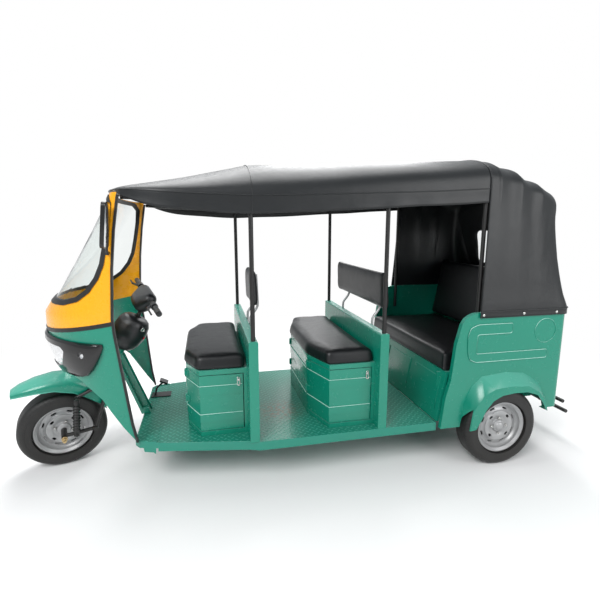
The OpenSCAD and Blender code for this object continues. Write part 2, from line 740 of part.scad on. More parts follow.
// Rear hood, fanned out on its bows front to rear: plan point of the hem, point of the shoulder, station and
// height of the top, and how square its arch is
hem_z = 968;
// The hem runs round the rear body's sides and corners, clear of them by the vinyl and a little ease
hem_out = canopy_t + 2.5;
function hem_side(x) = [x, body_y + hem_out];
function hem_corner(angle) = [rear_wall_x + body_corner - (body_corner + hem_out) * sin(angle),
    body_y - body_corner + (body_corner + hem_out) * cos(angle)];
function hem_rear(y) = [rear_wall_x - hem_out, y];
hood_table = [
    [hem_side(bow_x + 28), [bow_x, canopy_y, 1738], [bow_x, 1943], 3.15],
    [hem_side(bow_x - 55), [bow_x - 65, canopy_y + 2, 1736], [bow_x - 62, 1938], 3.1],
    [hem_side(bow_x - 155), [bow_x - 150, canopy_y - 3, 1724], [bow_x - 150, 1917], 3.0],
    [hem_side(bow_x - 235), [bow_x - 215, canopy_y + 1, 1712], [bow_x - 214, 1902], 3.0],
    [hem_side(bow_x - 330), [bow_x - 300, canopy_y - 9, 1690], [bow_x - 300, 1858], 2.9],
    [hem_side(bow_x - 420), [bow_x - 376, canopy_y - 11, 1672], [bow_x - 384, 1838], 2.8],
    [hem_side(bow_x - 510), [bow_x - 448, canopy_y - 26, 1640], [bow_x - 470, 1803], 2.8],
    [hem_corner(0), [bow_x - 510, canopy_y - 46, 1600], [bow_x - 542, 1776], 2.7],
    [hem_corner(30), [bow_x - 532, canopy_y - 72, 1540], [bow_x - 541, 1680], 2.6],
    [hem_corner(60), [bow_x - 548, canopy_y - 110, 1450], [bow_x - 551, 1560], 2.6],
    [hem_corner(90), [bow_x - 574, canopy_y - 160, 1300], [bow_x - 574, 1380], 2.6],
    [hem_rear(body_y - 92), [bow_x - 602, canopy_y - 220, 1140], [bow_x - 602, 1180], 2.6],
    [hem_rear(body_y - 112), [rear_wall_x - hem_out, canopy_y - 270, body_top + 8],
        [rear_wall_x - hem_out, body_top + 10], 2.6],
    [hem_rear(body_y - 132), [rear_wall_x - hem_out, canopy_y - 290, hem_z], [rear_wall_x - hem_out, hem_z],
        2.6]];
hem_strip_top = body_top + 6;
hood_leg_steps = 6;
hood_arch_steps = 16;
function hood_leg(row, side) = [for (k = [0:hood_leg_steps - 1])
    let (hem = row[0], top = row[1],
         strip = min(hem_strip_top, top[2]),
         s = (k - 1) / (hood_leg_steps - 1),
         lean = k == 0 ? 1 : pow(1 - s, 1.5))
    [top[0] + (hem[0] - top[0]) * lean, side * (top[1] + (hem[1] - top[1]) * lean),
     k == 0 ? hem_z : strip + (top[2] - strip) * s]];
function hood_row(row) = let (right_leg = hood_leg(row, -1))
    concat(hood_leg(row, 1),
        [for (k = [0:hood_arch_steps]) let (p = arch_point(180 * k / hood_arch_steps, row[3]))
            [row[1][0] + (row[2][0] - row[1][0]) * p[1], row[1][1] * p[0],
                row[1][2] + (row[2][1] - row[1][2]) * p[1]]],
        [for (k = [hood_leg_steps - 1:-1:0]) right_leg[k]]);

// A grid of points moved inwards, square to its surface
function thinned(grid, t) = let (m = len(grid) - 1, n = len(grid[0]) - 1)
    [for (j = [0:m]) [for (i = [0:n])
        let (c = min(max(i, 1), n - 1),
             u = grid[j][c + 1] - grid[j][c - 1],
             v = grid[min(j + 1, m)][c] - grid[max(j - 1, 0)][c],
             w = cross(u, v))
        grid[j][i] + t * w / norm(w)]];

window_z = 1357;
window_y = 290;
window_h = 266;
module rear_hood() {
    grid = [for (row = hood_table) hood_row(row)];
    color(black) place() difference() {
        sheet_solid(grid, thinned(grid, canopy_t));
        front_plate(rounded(rectangle(-window_y, window_y, window_z - window_h / 2,
            window_z + window_h / 2), 50),
            rear_wall_x - 140, rear_wall_x + 160);
    }
}

// Tubes of the frame: posts on the bench walls and in the rear body, side rails and three bows
rail_tube_r = 11;
rail_drop = 34;
post_y = side_y - frame_tube_r - 7.7;
rear_post_y = body_y - body_t - frame_tube_r - seat;
post_x = [wall_1_x - wall_t / 2, wall_2_x - wall_t / 2, bow_x + 15];
front_rail = [[wheelbase - 525, 0.84], [wheelbase - 740, 1]];
rail_path = concat(
    [for (p = front_rail) [p[0], post_y * p[1], roof_at(p[0], 4) - rail_drop]],
    [for (k = [3:10]) [roof_table[k + 1][0], post_y, roof_table[k + 1][4] - rail_drop]]);
function bow_path(x) = [for (k = [0:roof_steps])
    let (p = arch_point(180 * k / roof_steps, roof_at(x, 6)), low = roof_at(x, 4) - rail_drop)
    [x, post_y * p[0], low + (roof_at(x, 5) - canopy_t - rail_tube_r - 2 * seat - low) * p[1]]];

module canopy_frame() {
    color(black) place() {
        both_sides() {
            for (x = [post_x[0], post_x[1]])
                translate([x, post_y, wall_top]) cylinder(h = roof_at(x, 4) - rail_drop - wall_top,
                    r = frame_tube_r);
            translate([post_x[2], rear_post_y, body_top - 180])
                cylinder(h = roof_at(post_x[2], 4) - rail_drop - body_top + 180, r = frame_tube_r);
            bent_tube(rail_path, rail_tube_r, [0, 1, 0]);
        }
        for (x = post_x)
            bent_tube(bow_path(x), rail_tube_r, [1, 0, 0]);
    }
}

// Rear body: a tub of side walls and a rear wall with rounded corners, cut to its side view in X and Z
tub_low = axle_z + 81;
tub_inner_corner = 20;
body_side = [[seat_foot_x - 9, axle_z + 12], [seat_foot_x - 29, 460], [seat_foot_x - 61, 581],
    [seat_foot_x - 84, 808], [seat_foot_x - 114, body_top - 70], [seat_foot_x - 136, body_top - 34],
    [seat_foot_x - 164, body_top - 16], [seat_foot_x - 194, body_top - 4], [seat_foot_x - 223, body_top],
    [rear_wall_x - 20, body_top], [rear_wall_x - 20, tub_low], [-380, tub_low], [-340, axle_z + 46],
    [202, axle_z + 12]];
module tub_plan(rear, front, side, corner) {
    translate([rear + corner, -side]) square([front - rear, 2 * side]);
    translate([rear, -side + corner]) square([front - rear, 2 * (side - corner)]);
    both_sides() translate([rear + corner, side - corner]) circle(r = corner);
}
module tub() {
    intersection() {
        translate([0, 0, axle_z]) linear_extrude(body_top) difference() {
            tub_plan(rear_wall_x, seat_foot_x + 50, body_y, body_corner);
            tub_plan(rear_wall_x + rear_wall_t, seat_foot_x + 150, body_y - body_t, tub_inner_corner);
        }
        side_plate(body_side, -past, past);
    }
}

// Wheel arch flare: its foot on the side wall and its outer crest, drawn towards its centre by an inset
flare_centre = [-40, axle_z + 46];
flare_foot = [[266, 266], [250, 430], [205, 530], [139, 590], [-30, 607], [-162, 592], [-290, 520],
    [-345, 420],
    [-368, 336]];
flare_crest = [[240, 266], [222, 400], [158, 490], [80, 528], [-30, 536], [-160, 526], [-240, 480],
    [-290, 420],
    [-318, 336]];
arch_edge = [[202, 200], [202, 266], [165, 335], [140, 390], [90, 450], [28, 480], [-60, 490], [-150, 488],
    [-230, 462], [-275, 405], [-300, 360], [-340, 330], [-420, 336], [-420, 200]];
arch_gap = 16;
flare_t = 7;
function drawn_in(pts, c, d) = [for (p = pts) p - d * (p - c) / norm(p - c)];
module flare(d, y_in) {
    hull() {
        side_plate(drawn_in(flare_foot, flare_centre, d), y_in, body_y + 0.1 - d);
        side_plate(drawn_in(flare_crest, flare_centre, d), flare_y - 1 - d, flare_y - d);
    }
}

// Raised bands on the sides: a C that opens to the rear, and a ring below the hood's hem
rib_proud = 4;
c_band = [[-52, 926], [190, 926], [238, 908], [256, 862], [252, 762], [236, 706], [190, 686], [-323, 686],
    [-323, 741],
    [196, 741], [190, 863], [-52, 863]];
ring_at = [-300, 865];
ring_r = 78;
module rear_body() {
    color(green) place() {
        difference() {
            union() {
                tub();
                both_sides() {
                    flare(0, body_y - body_t);
                    side_plate(rounded(c_band, 14), body_y - 1, body_y + rib_proud);
                    translate([ring_at[0], body_y - 1, ring_at[1]]) rotate([-90, 0, 0])
                        cylinder(h = rib_proud - 1, r = ring_r);
                }
            }
            both_sides() {
                flare(flare_t, body_y - body_t - 40);
                side_plate(arch_edge, body_y - 122, past);
                translate([0, body_y - 122, axle_z]) rotate([-90, 0, 0]) cylinder(h = 184,
                    r = tyre_r + arch_gap);
                translate([ring_at[0], body_y, ring_at[1]]) rotate([-90, 0, 0]) cylinder(h = 10,
                    r = ring_r - 4);
            }
        }
    }
}

// Rear seat base: sloping front panel with three pressed fields, seat board and inner wheel boxes
base_front = [[seat_foot_x, floor_z + seat], [seat_foot_x - 22, 460], [seat_foot_x - 52, 622],
    [seat_foot_x - 72, 622], [seat_foot_x - 44, 460], [seat_foot_x - 20, floor_z + seat]];
field = [[seat_foot_x - 7, 352], [seat_foot_x - 17, 460], [seat_foot_x - 38, 575], [seat_foot_x - 50, 575],
    [seat_foot_x - 30, 460], [seat_foot_x - 12, 352]];
seat_board_z = 602;
seat_board_t = 20;
seat_rear_x = -330;
module rear_seat_base() {
    half = body_y - body_t - 14;
    color(green) place() {
        side_plate(base_front, -half, half);
        side_plate(field, -half / 4, half / 4);
        both_sides() side_plate(field, half * 0.36, half * 0.93);
        block([seat_rear_x, -half, seat_board_z], [seat_foot_x - 54, half, seat_board_z + seat_board_t]);
        both_sides() block([seat_rear_x, tyre_in_y - 24.5, axle_z + 126],
            [seat_foot_x - 24, tyre_in_y - 8.5, seat_board_z + 3]);
    }
}

rear_pad_z = seat_board_z + seat_board_t + seat;
rear_pad_high = 745;
module rear_cushion() {
    half = body_y - body_t - 17;
    front = seat_foot_x - 28;
    color(black) place() side_plate(rounded([[seat_rear_x + 80, rear_pad_z], [front - 8, rear_pad_z],
        [front + 4, rear_pad_z + 30],
        [front, rear_pad_high], [seat_rear_x + 80, rear_pad_high]], 12), -half, half);
}

module rear_backrest() {
    half = body_y - 62;
    color(black) place() intersection() {
        side_plate(rounded([[-262, rear_pad_high + seat], [-165, rear_pad_high + seat], [-245, 1235],
            [-325, 1235]], 18),
            -half, half);
        front_plate(rounded(rectangle(-half, half, rear_pad_high, 1240), 50), -400, -100);
    }
}

lamp_t = 24;
module tail_lamps() {
    color([0.7, 0.1, 0.08]) place() both_sides()
        front_plate(rounded(rectangle(body_y - 148, body_y - 58, 690, 840), 22),
            rear_wall_x - lamp_t - seat, rear_wall_x - seat);
}

// Round tubes across the tail on two sloping arms, each welded to a plate on the rear wall
bumper_high = [rear_wall_x - 166, axle_z + 47];
bumper_low = [rear_wall_x - 202, axle_z - 32];
bumper_half = 500;
// Collars round the tubes where the arms hold them
collar_w = 50;
collar_t = 3;
arm_r = 12;
arm_root_z = axle_z + 98;
module rear_bumper() {
    color(black) place() {
        for (p = [bumper_high, bumper_low])
            bar([p[0], -bumper_half, p[1]], [p[0], bumper_half, p[1]], bumper_r);
        both_sides() for (p = [bumper_high, bumper_low])
            translate([p[0], rail_y - collar_w / 2, p[1]]) rotate([-90, 0, 0])
                cylinder(h = collar_w, r = bumper_r + collar_t);
        both_sides() {
            block([rear_wall_x - 6 - seat, rail_y - 25, arm_root_z - 17],
                [rear_wall_x - seat, rail_y + 25, arm_root_z + 43]);
            bar([rear_wall_x - 4, rail_y, arm_root_z + 4], [bumper_high[0], rail_y, bumper_high[1]], arm_r);
            bar([bumper_high[0], rail_y, bumper_high[1]], [bumper_low[0], rail_y, bumper_low[1]], arm_r);
        }
    }
}

// Mirrors on jointed arms from the fairing's sides
mirror_z = 1385;
mirror_y = side_y - lookup(mirror_z, fairing_in);
module mirrors() {
    color(black) place_front() both_sides() {
        translate([-450, mirror_y + seat, mirror_z]) rotate([-90, 0, 0]) cylinder(h = 8, r = 10);
        bar([-450, mirror_y + 4, mirror_z], [-455, mirror_y + 45, mirror_z], 8);
        bar([-455, mirror_y + 45, mirror_z - 5], [-468, mirror_y + 75, mirror_z + 85], 6);
        translate([-474, mirror_y + 79, mirror_z + 140]) rotate([0, -6, 0]) difference() {
            front_plate(rounded(rectangle(-59, 59, -112, 112), 26), 0, 20);
            front_plate(rounded(rectangle(-53, 53, -106, 106), 22), -1, 2);
        }
    }
}

// Radius and half width of the tyre's seat on the rim
bead_r = rim_r - 14;
bead_half = tyre_w / 2 - 22.5;
// Tyre: tread, two sidewalls and rounded shoulders, the axle along Y
module tyre() {
    rotate([90, 0, 0]) rotate_extrude($fn = 96) {
        half = tyre_w / 2;
        translate([bead_r, -half + tyre_shoulder]) square([tyre_r - bead_r, tyre_w - 2 * tyre_shoulder]);
        translate([bead_r, -bead_half]) square([30, 2 * bead_half]);
        translate([rim_r + 8, -half]) square([tyre_r - tyre_shoulder - rim_r - 8, tyre_w]);
        for (side = [-1, 1])
            translate([tyre_r - tyre_shoulder, side * (half - tyre_shoulder)]) circle(r = tyre_shoulder);
    }
}

// Steel rim: its profile as radius and distance out from the tyre's middle, with a pressed disc of
// four hand holes and eight slots, and a hub that runs on the axle
hub_half = 50;
disc_out = 28;
slot_r = 118;
module rim(bore) {
    lip = bead_half + seat;
    face = disc_out;
    rotate([-90, 0, 0]) difference() {
        rotate_extrude($fn = 96) polygon([[rim_r, -lip - 7.7], [rim_r, -lip], [bead_r - seat, -lip],
            [bead_r - seat, -34],
            [rim_r - 27, -24], [rim_r - 27, 12], [bead_r - seat, 22], [bead_r - seat, lip], [rim_r, lip],
            [rim_r, lip + 7.7], [rim_r - 7, lip + 7.7], [rim_r - 20, 46], [rim_r - 22, 30], [rim_r - 33, 16],
            [slot_r, face - 8], [104, face], [98, face + 8], [70, face + 8], [58, face], [44, face],
            [38, face + 14], [bore, hub_half], [bore, -hub_half], [24, -hub_half], [24, face - 16],
            [58, face - 8], [70, face], [98, face], [104, face - 8], [slot_r, face - 16],
            [rim_r - 33, 2], [rim_r - 33, -28], [rim_r - 20, -lip + 3], [rim_r - 7, -lip - 7.7]]);
        for (k = [0:3]) rotate(45 + 90 * k) {
            translate([84, -5, -80]) cylinder(h = 200, r = 8);
            translate([84, 5, -80]) cylinder(h = 200, r = 8);
            translate([76, -5, -80]) cube([16, 10, 200]);
        }
        for (k = [0:7]) rotate(22.5 + 45 * k) {
            translate([slot_r, -12, -80]) cylinder(h = 200, r = 5);
            translate([slot_r, 12, -80]) cylinder(h = 200, r = 5);
            translate([slot_r - 5, -12, -80]) cube([10, 24, 200]);
        }
    }
}

hub_r = 17.5;
module rear_tyre_at(side) {
    color(black) place() translate([0, side * track_y, axle_z]) tyre();
}

module rear_rim_at(side) {
    color(silver) place() translate([0, side * track_y, axle_z]) rotate([0, 0,
        side < 0 ? 180 : 0]) rim(hub_r + fit);
}

module rear_left_tyre() {
    rear_tyre_at(1);
}

module rear_left_rim() {
    rear_rim_at(1);
}

module rear_right_tyre() {
    rear_tyre_at(-1);
}

module rear_right_rim() {
    rear_rim_at(-1);
}

// Live axle: tube, drive casing and motor, brake drums and wheel spindles
axle_tube_r = 30;
module rear_axle() {
    color(black) place() translate([0, 0, axle_z]) {
        rotate([90, 0, 0]) cylinder(h = 2 * track_y - 230, r = axle_tube_r, center = true);
        rotate([90, 0, 0]) cylinder(h = 130, r = 92, center = true);
        translate([60, -120, 0]) rotate([90, 0, 0]) cylinder(h = 200, r = 74, center = true);
        both_sides() {
            translate([0, track_y - 125, 0]) rotate([-90, 0, 0]) cylinder(h = 60, r = 100);
            translate([0, track_y - 75, 0]) rotate([-90, 0, 0]) cylinder(h = 75 + hub_half, r = hub_r);
        }
    }
}

// Leaf packs on the axle; their eyes run on the frame's hanger pins
leaf_w = 50;
leaf_pad_z = axle_z + axle_tube_r + seat;
leaf_half_side = [[spring_half, spring_eye_z - 5], [240, leaf_pad_z + 21], [236, leaf_pad_z + 14],
    [140, leaf_pad_z + 9],
    [136, leaf_pad_z + 3], [60, leaf_pad_z]];
leaf_top = [[60, leaf_pad_z + 24], [200, leaf_pad_z + 29], [spring_half, spring_eye_z + 5]];
module leaf_springs() {
    color(black) place() both_sides() difference() {
        union() {
            side_plate(concat([for (p = leaf_half_side) [-p[0], p[1]]],
                [for (k = [len(leaf_half_side) - 1:-1:0]) leaf_half_side[k]],
                [for (k = [2:-1:0]) leaf_top[k]], [for (p = leaf_top) [-p[0], p[1]]]),
                spring_y - leaf_w / 2, spring_y + leaf_w / 2);
            for (x = [-spring_half, spring_half])
                translate([x, spring_y - leaf_w / 2, spring_eye_z]) rotate([-90, 0, 0]) cylinder(h = leaf_w,
                    r = 14);
        }
        for (x = [-spring_half, spring_half])
            translate([x, spring_y - leaf_w / 2 - 1, spring_eye_z]) rotate([-90, 0, 0])
                cylinder(h = leaf_w + 2, r = hanger_pin_r + fit);
    }
}

module front_tyre() {
    color(black) steered() translate([wheelbase, 0, axle_z]) tyre();
}

axle_r = 10;
module front_rim() {
    color(silver) steered() translate([wheelbase, 0, axle_z]) rim(axle_r + fit);
}

// Fork, with places counted from the front axle in X and Z: stem in the head tube, crown, two legs,
// leading arms and the wheel's axle
crown_s = head_low_s - 28;
leg_y = tyre_w / 2 + 43.5;
crown_at = [head_lead - crown_s * sin(rake), crown_s * cos(rake) - axle_z];
pivot_at = [-178, 8];
shock_low = [-68, 16];
shock_high = [-90, 251];
guard_lug = [-160, 278];
shock_y = leg_y + 36;
module at_axle() {
    steered() translate([wheelbase, 0, axle_z]) children();
}
module front_fork() {
    color(black) steered() translate([head_x, 0, 0]) rotate([0, -rake, 0]) {
        translate([0, 0, crown_s]) cylinder(h = bar_s - 28 - crown_s, r = stem_r);
        block([-22, -leg_y - 15, crown_s - 12], [22, leg_y + 15, crown_s + 12]);
    }
    color(black) at_axle() {
        both_sides() {
            bar([crown_at[0], leg_y, crown_at[1]], [pivot_at[0], leg_y, pivot_at[1]], 12);
            bar([crown_at[0], leg_y, crown_at[1]], [shock_high[0], leg_y, shock_high[1]], 10);
            bar([pivot_at[0], leg_y, pivot_at[1]], [0, leg_y, 0], 12);
            translate([pivot_at[0], leg_y - 15, pivot_at[1]]) rotate([-90, 0, 0]) cylinder(h = 34, r = 16);
            translate([0, hub_half + seat, 0]) rotate([-90, 0, 0]) cylinder(h = leg_y - hub_half + 19,
                r = 17);
            for (p = [shock_low, shock_high])
                translate([p[0], leg_y, p[1]]) rotate([-90, 0, 0]) cylinder(h = 14, r = 9);
            translate([guard_lug[0], guard_half - 3, guard_lug[1]]) rotate([-90, 0, 0])
                cylinder(h = leg_y - guard_half + 3, r = 8);
        }
        rotate([90, 0, 0]) cylinder(h = 2 * leg_y + 68, r = axle_r, center = true);
    }
}

// Spring dampers under black bellows
bellows = 9;
module front_shocks() {
    v = shock_high - shock_low;
    long = norm(v);
    pitch = (long - 60) / bellows;
    color(black) at_axle() both_sides() {
        translate([shock_low[0], shock_y, shock_low[1]]) rotate([0, atan2(v[0], v[1]), 0]) {
            cylinder(h = long, r = 12);
            translate([0, 0, -8]) cylinder(h = 34, r = 16);
            translate([0, 0, long - 26]) cylinder(h = 34, r = 16);
            rotate_extrude() polygon(concat([[6, 25]], [for (k = [0:bellows - 1]) each [[16, 25 + k * pitch],
                [22, 25 + (k + 0.5) * pitch]]], [[16, 25 + bellows * pitch], [6, 25 + bellows * pitch]]));
        }
        for (p = [shock_low, shock_high])
            translate([p[0], leg_y + 14 + seat, p[1]]) rotate([-90, 0, 0]) cylinder(h = 40, r = 8);
    }
}

// Mudguard rows, front to rear: station and height from the front axle, half width beyond the tyre's,
// depth of the sides, and height of the pressed ridge
guard_rows = [[245, 312, -26.5, 22, 0], [200, 336, -4.5, 34, 3], [120, 361, 13.5, 48, 7],
    [20, 378, 22.5, 66, 8],
    [-80, 374, 24.5, 96, 8], [-160, 346, 24.5, 126, 6], [-220, 296, 22.5, 130, 3],
        [-254, 226, 17.5, 110, 0]];
guard_half = tyre_w / 2 + 24.5;
guard_t = 4;
guard_lip = 7;
guard_steps = 18;
function guard_row(row, inset) =
    let (w = tyre_w / 2 + row[2] - inset,
         low = row[1] - row[3],
         high = row[3] - inset,
         arch = [for (k = [0:guard_steps]) arch_point(180 * k / guard_steps, 2.6)])
    concat([[row[0], w + guard_lip, low - (guard_t - inset) / 2]],
        [for (p = arch) [row[0], w * p[0], low + guard_t * (1 - inset / guard_t) / 2 + (high - 2) * p[1] +
            (abs(p[0]) < 0.3 ? row[4] : 0)]],
        [[row[0], -w - guard_lip, low - (guard_t - inset) / 2]]);
module front_mudguard() {
    color(green) at_axle()
        sheet_solid([for (row = guard_rows) guard_row(row, 0)],
            [for (row = guard_rows) guard_row(row, guard_t)]);
}

// Handlebar: tube, grips, switch pods, levers and the moulded cover over the stem's clamp
bar_s = 1238;
grip_len = 110;
module handlebar() {
    color(grey) steered() translate([head_x, 0, 0]) rotate([0, -rake, 0]) {
        difference() {
            union() {
                translate([12, 0, bar_s]) rotate([90, 0, 0]) cylinder(h = 2 * bar_half, r = 11,
                    center = true);
                hull() both_sides() {
                    translate([14, 90, bar_s]) sphere(r = 42, $fn = 24);
                    translate([24, 40, bar_s - 46]) sphere(r = 60, $fn = 24);
                }
                both_sides() {
                    translate([12, bar_half - grip_len, bar_s]) rotate([-90, 0,
                        0]) cylinder(h = grip_len - 6, r = 17);
                    translate([12, bar_half - grip_len - 62, bar_s]) rotate([-90, 0, 0]) cylinder(h = 46,
                        r = 21);
                    bar([24, bar_half - grip_len - 40, bar_s - 4],
                        [58, bar_half - grip_len + 6, bar_s - 14], 7);
                    bar([58, bar_half - grip_len + 6, bar_s - 14], [50, bar_half - 8, bar_s - 20], 5);
                }
            }
            translate([0, 0, bar_s - 148]) cylinder(h = 122, r = stem_r + fit);
        }
    }
}

// Foremost and rearmost stations of the vehicle, which place() puts at equal distances from the middle
spin_lean = cos(rake) * sin(steer_rest);
front_reach = turned([wheelbase, 0, axle_z])[0] + tyre_shoulder
    + (tyre_r - tyre_shoulder) * sqrt(1 - spin_lean * spin_lean) + (tyre_w / 2 - tyre_shoulder) * spin_lean;
rear_reach = bumper_low[0] - bumper_r;
x_shift = -(front_reach + rear_reach) / 2;

chassis_frame();
floor();
front_fairing();
windscreen_surround();
windscreen();
fairing_trim();
headlamp_housings();
headlamp_lenses();
steering_cowl();
column_bracket();
brake_pedal();
driver_seat_box();
driver_cushion();
driver_backrest();
middle_seat_box();
middle_cushion();
middle_backrest();
bench_walls();
canopy_frame();
roof_canopy();
rear_hood();
rear_body();
rear_seat_base();
rear_cushion();
rear_backrest();
tail_lamps();
rear_bumper();
mirrors();
rear_axle();
leaf_springs();
battery_pack();
driver_door_left();
driver_door_right();
middle_door_left();
middle_door_right();
rear_left_tyre();
rear_left_rim();
rear_right_tyre();
rear_right_rim();
front_tyre();
front_rim();
front_fork();
front_shocks();
front_mudguard();
handlebar();
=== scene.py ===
import math

import bmesh
import bpy
from mathutils import Matrix, Vector, noise


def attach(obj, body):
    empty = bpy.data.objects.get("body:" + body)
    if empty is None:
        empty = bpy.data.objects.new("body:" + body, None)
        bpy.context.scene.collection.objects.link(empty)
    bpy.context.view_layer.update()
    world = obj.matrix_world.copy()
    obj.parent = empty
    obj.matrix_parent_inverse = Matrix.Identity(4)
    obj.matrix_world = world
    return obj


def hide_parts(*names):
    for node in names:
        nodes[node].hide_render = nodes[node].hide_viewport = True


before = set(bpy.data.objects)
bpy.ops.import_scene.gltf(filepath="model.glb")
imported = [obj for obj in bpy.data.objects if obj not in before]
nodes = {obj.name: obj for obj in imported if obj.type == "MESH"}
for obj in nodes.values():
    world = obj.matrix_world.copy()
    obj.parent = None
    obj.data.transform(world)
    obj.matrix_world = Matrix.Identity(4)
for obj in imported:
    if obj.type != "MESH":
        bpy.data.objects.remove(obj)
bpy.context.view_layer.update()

# The camera stands at the near side, a little ahead of the driver and above their eyes, and looks down
# along the vehicle. Stations along the vehicle count from the rear axle, as in the part's source.
axle_station = 1.156578


def at(station, y, z):
    """A point in the frame from its station ahead of the rear axle."""
    return Vector((station - axle_station, y, z))


camera = bpy.data.objects.new("camera", bpy.data.cameras.new("camera"))
bpy.context.scene.collection.objects.link(camera)
bpy.context.scene.camera = camera
camera.data.sensor_width = 36.0
camera.data.lens = 25.0
camera.data.clip_end = 200.0
bpy.context.scene.view_settings.view_transform = "Standard"
sight = Vector((-0.2165, -0.9607, -0.1736)).normalized()
rightward = sight.cross(Vector((0, 0, 1))).normalized()
upward = rightward.cross(sight)
camera_spot = Vector((0.64462, 2.8051, 1.5188))
camera.matrix_world = Matrix((
    (rightward.x, upward.x, -sight.x, camera_spot.x),
    (rightward.y, upward.y, -sight.y, camera_spot.y),
    (rightward.z, upward.z, -sight.z, camera_spot.z),
    (0, 0, 0, 1)))

# Studio: a wide pale floor that keeps the shadow and fades into a white surround. A big soft lamp hangs over
# the near front corner and another above the roof, and two weaker ones open up the cabin and the tail.
def wire(tree, kind, **settings):
    """One node of a node tree. Its settings are properties, socket values or outputs that feed its sockets."""
    node = tree.nodes.new(kind)
    for name, value in settings.items():
        if hasattr(node, name):
            setattr(node, name, value)
        elif isinstance(value, bpy.types.NodeSocket):
            tree.links.new(value, node.inputs[name.replace("_", " ")])
        else:
            node.inputs[name.replace("_", " ")].default_value = value
    return node


bpy.ops.object.select_all(action="DESELECT")
bpy.ops.mesh.primitive_circle_add(vertices=96, radius=40.0, fill_type="NGON", location=(0, 0, 0))
studio_floor = bpy.context.object
studio_floor.name = "studio_floor"
pale = bpy.data.materials.new("studio_white")
pale.use_nodes = True
tree = pale.node_tree
tree.nodes.clear()
place = wire(tree, "ShaderNodeTexCoord")
spread = wire(tree, "ShaderNodeVectorMath", operation="LENGTH")
fade = wire(tree, "ShaderNodeMapRange", interpolation_type="SMOOTHSTEP", From_Min=1.8, From_Max=4.2)
matt = wire(tree, "ShaderNodeBsdfDiffuse", Color=(0.9, 0.9, 0.9, 1))
glow = wire(tree, "ShaderNodeEmission", Strength=1.0)
seen = wire(tree, "ShaderNodeLightPath")
either = wire(tree, "ShaderNodeMath", operation="MAXIMUM")
through = wire(tree, "ShaderNodeMath", operation="MAXIMUM")
share = wire(tree, "ShaderNodeMath", operation="MULTIPLY")
mixed = wire(tree, "ShaderNodeMixShader")
shown = wire(tree, "ShaderNodeOutputMaterial")
tree.links.new(place.outputs["Object"], spread.inputs[0])
tree.links.new(spread.outputs["Value"], fade.inputs["Value"])
tree.links.new(seen.outputs["Is Camera Ray"], either.inputs[0])
tree.links.new(seen.outputs["Is Glossy Ray"], either.inputs[1])
tree.links.new(either.outputs[0], through.inputs[0])
tree.links.new(seen.outputs["Is Transmission Ray"], through.inputs[1])
tree.links.new(fade.outputs["Result"], share.inputs[0])
tree.links.new(through.outputs[0], share.inputs[1])
tree.links.new(share.outputs[0], mixed.inputs["Fac"])
tree.links.new(matt.outputs[0], mixed.inputs[1])
tree.links.new(glow.outputs[0], mixed.inputs[2])
tree.links.new(mixed.outputs[0], shown.inputs["Surface"])
studio_floor.data.materials.append(pale)

surround = bpy.data.worlds.new("studio_surround")
bpy.context.scene.world = surround
surround.use_nodes = True
tree = surround.node_tree
tree.nodes.clear()
sky = wire(tree, "ShaderNodeBackground", Color=(0.93, 0.96, 1.0, 1), Strength=0.36)
white = wire(tree, "ShaderNodeBackground", Color=(1, 1, 1, 1), Strength=1.0)
shine = wire(tree, "ShaderNodeBackground", Color=(0.93, 0.97, 1.0, 1), Strength=0.6)
seen = wire(tree, "ShaderNodeLightPath")
through = wire(tree, "ShaderNodeMath", operation="MAXIMUM")
glossy = wire(tree, "ShaderNodeMixShader")
mixed = wire(tree, "ShaderNodeMixShader")
shown = wire(tree, "ShaderNodeOutputWorld")
tree.links.new(seen.outputs["Is Camera Ray"], through.inputs[0])
tree.links.new(seen.outputs["Is Transmission Ray"], through.inputs[1])
tree.links.new(seen.outputs["Is Glossy Ray"], glossy.inputs["Fac"])
tree.links.new(sky.outputs[0], glossy.inputs[1])
tree.links.new(shine.outputs[0], glossy.inputs[2])
tree.links.new(through.outputs[0], mixed.inputs["Fac"])
tree.links.new(glossy.outputs[0], mixed.inputs[1])
tree.links.new(white.outputs[0], mixed.inputs[2])
tree.links.new(mixed.outputs[0], shown.inputs["Surface"])

for lamp_name, spot, aim, size, watts in (
        ("key_lamp", (3.6, 4.4, 5.0), (0.2, 0, 0.8), 3.2, 330),
        ("side_lamp", (-3.4, 4.2, 2.6), (-0.4, 0, 0.9), 3.0, 100),
        ("back_lamp", (-2.0, -5.0, 4.0), (0, 0, 1.0), 3.0, 90),
        ("roof_lamp", (-0.2, -1.6, 5.2), (-0.2, 0, 1.9), 5.0, 330)):
    lamp = bpy.data.objects.new(lamp_name, bpy.data.lights.new(lamp_name, "AREA"))
    bpy.context.scene.collection.objects.link(lamp)
    lamp.data.energy = watts
    lamp.data.size = size
    lamp.location = spot
    lamp.rotation_euler = (Vector(aim) - Vector(spot)).to_track_quat("-Z", "Y").to_euler()


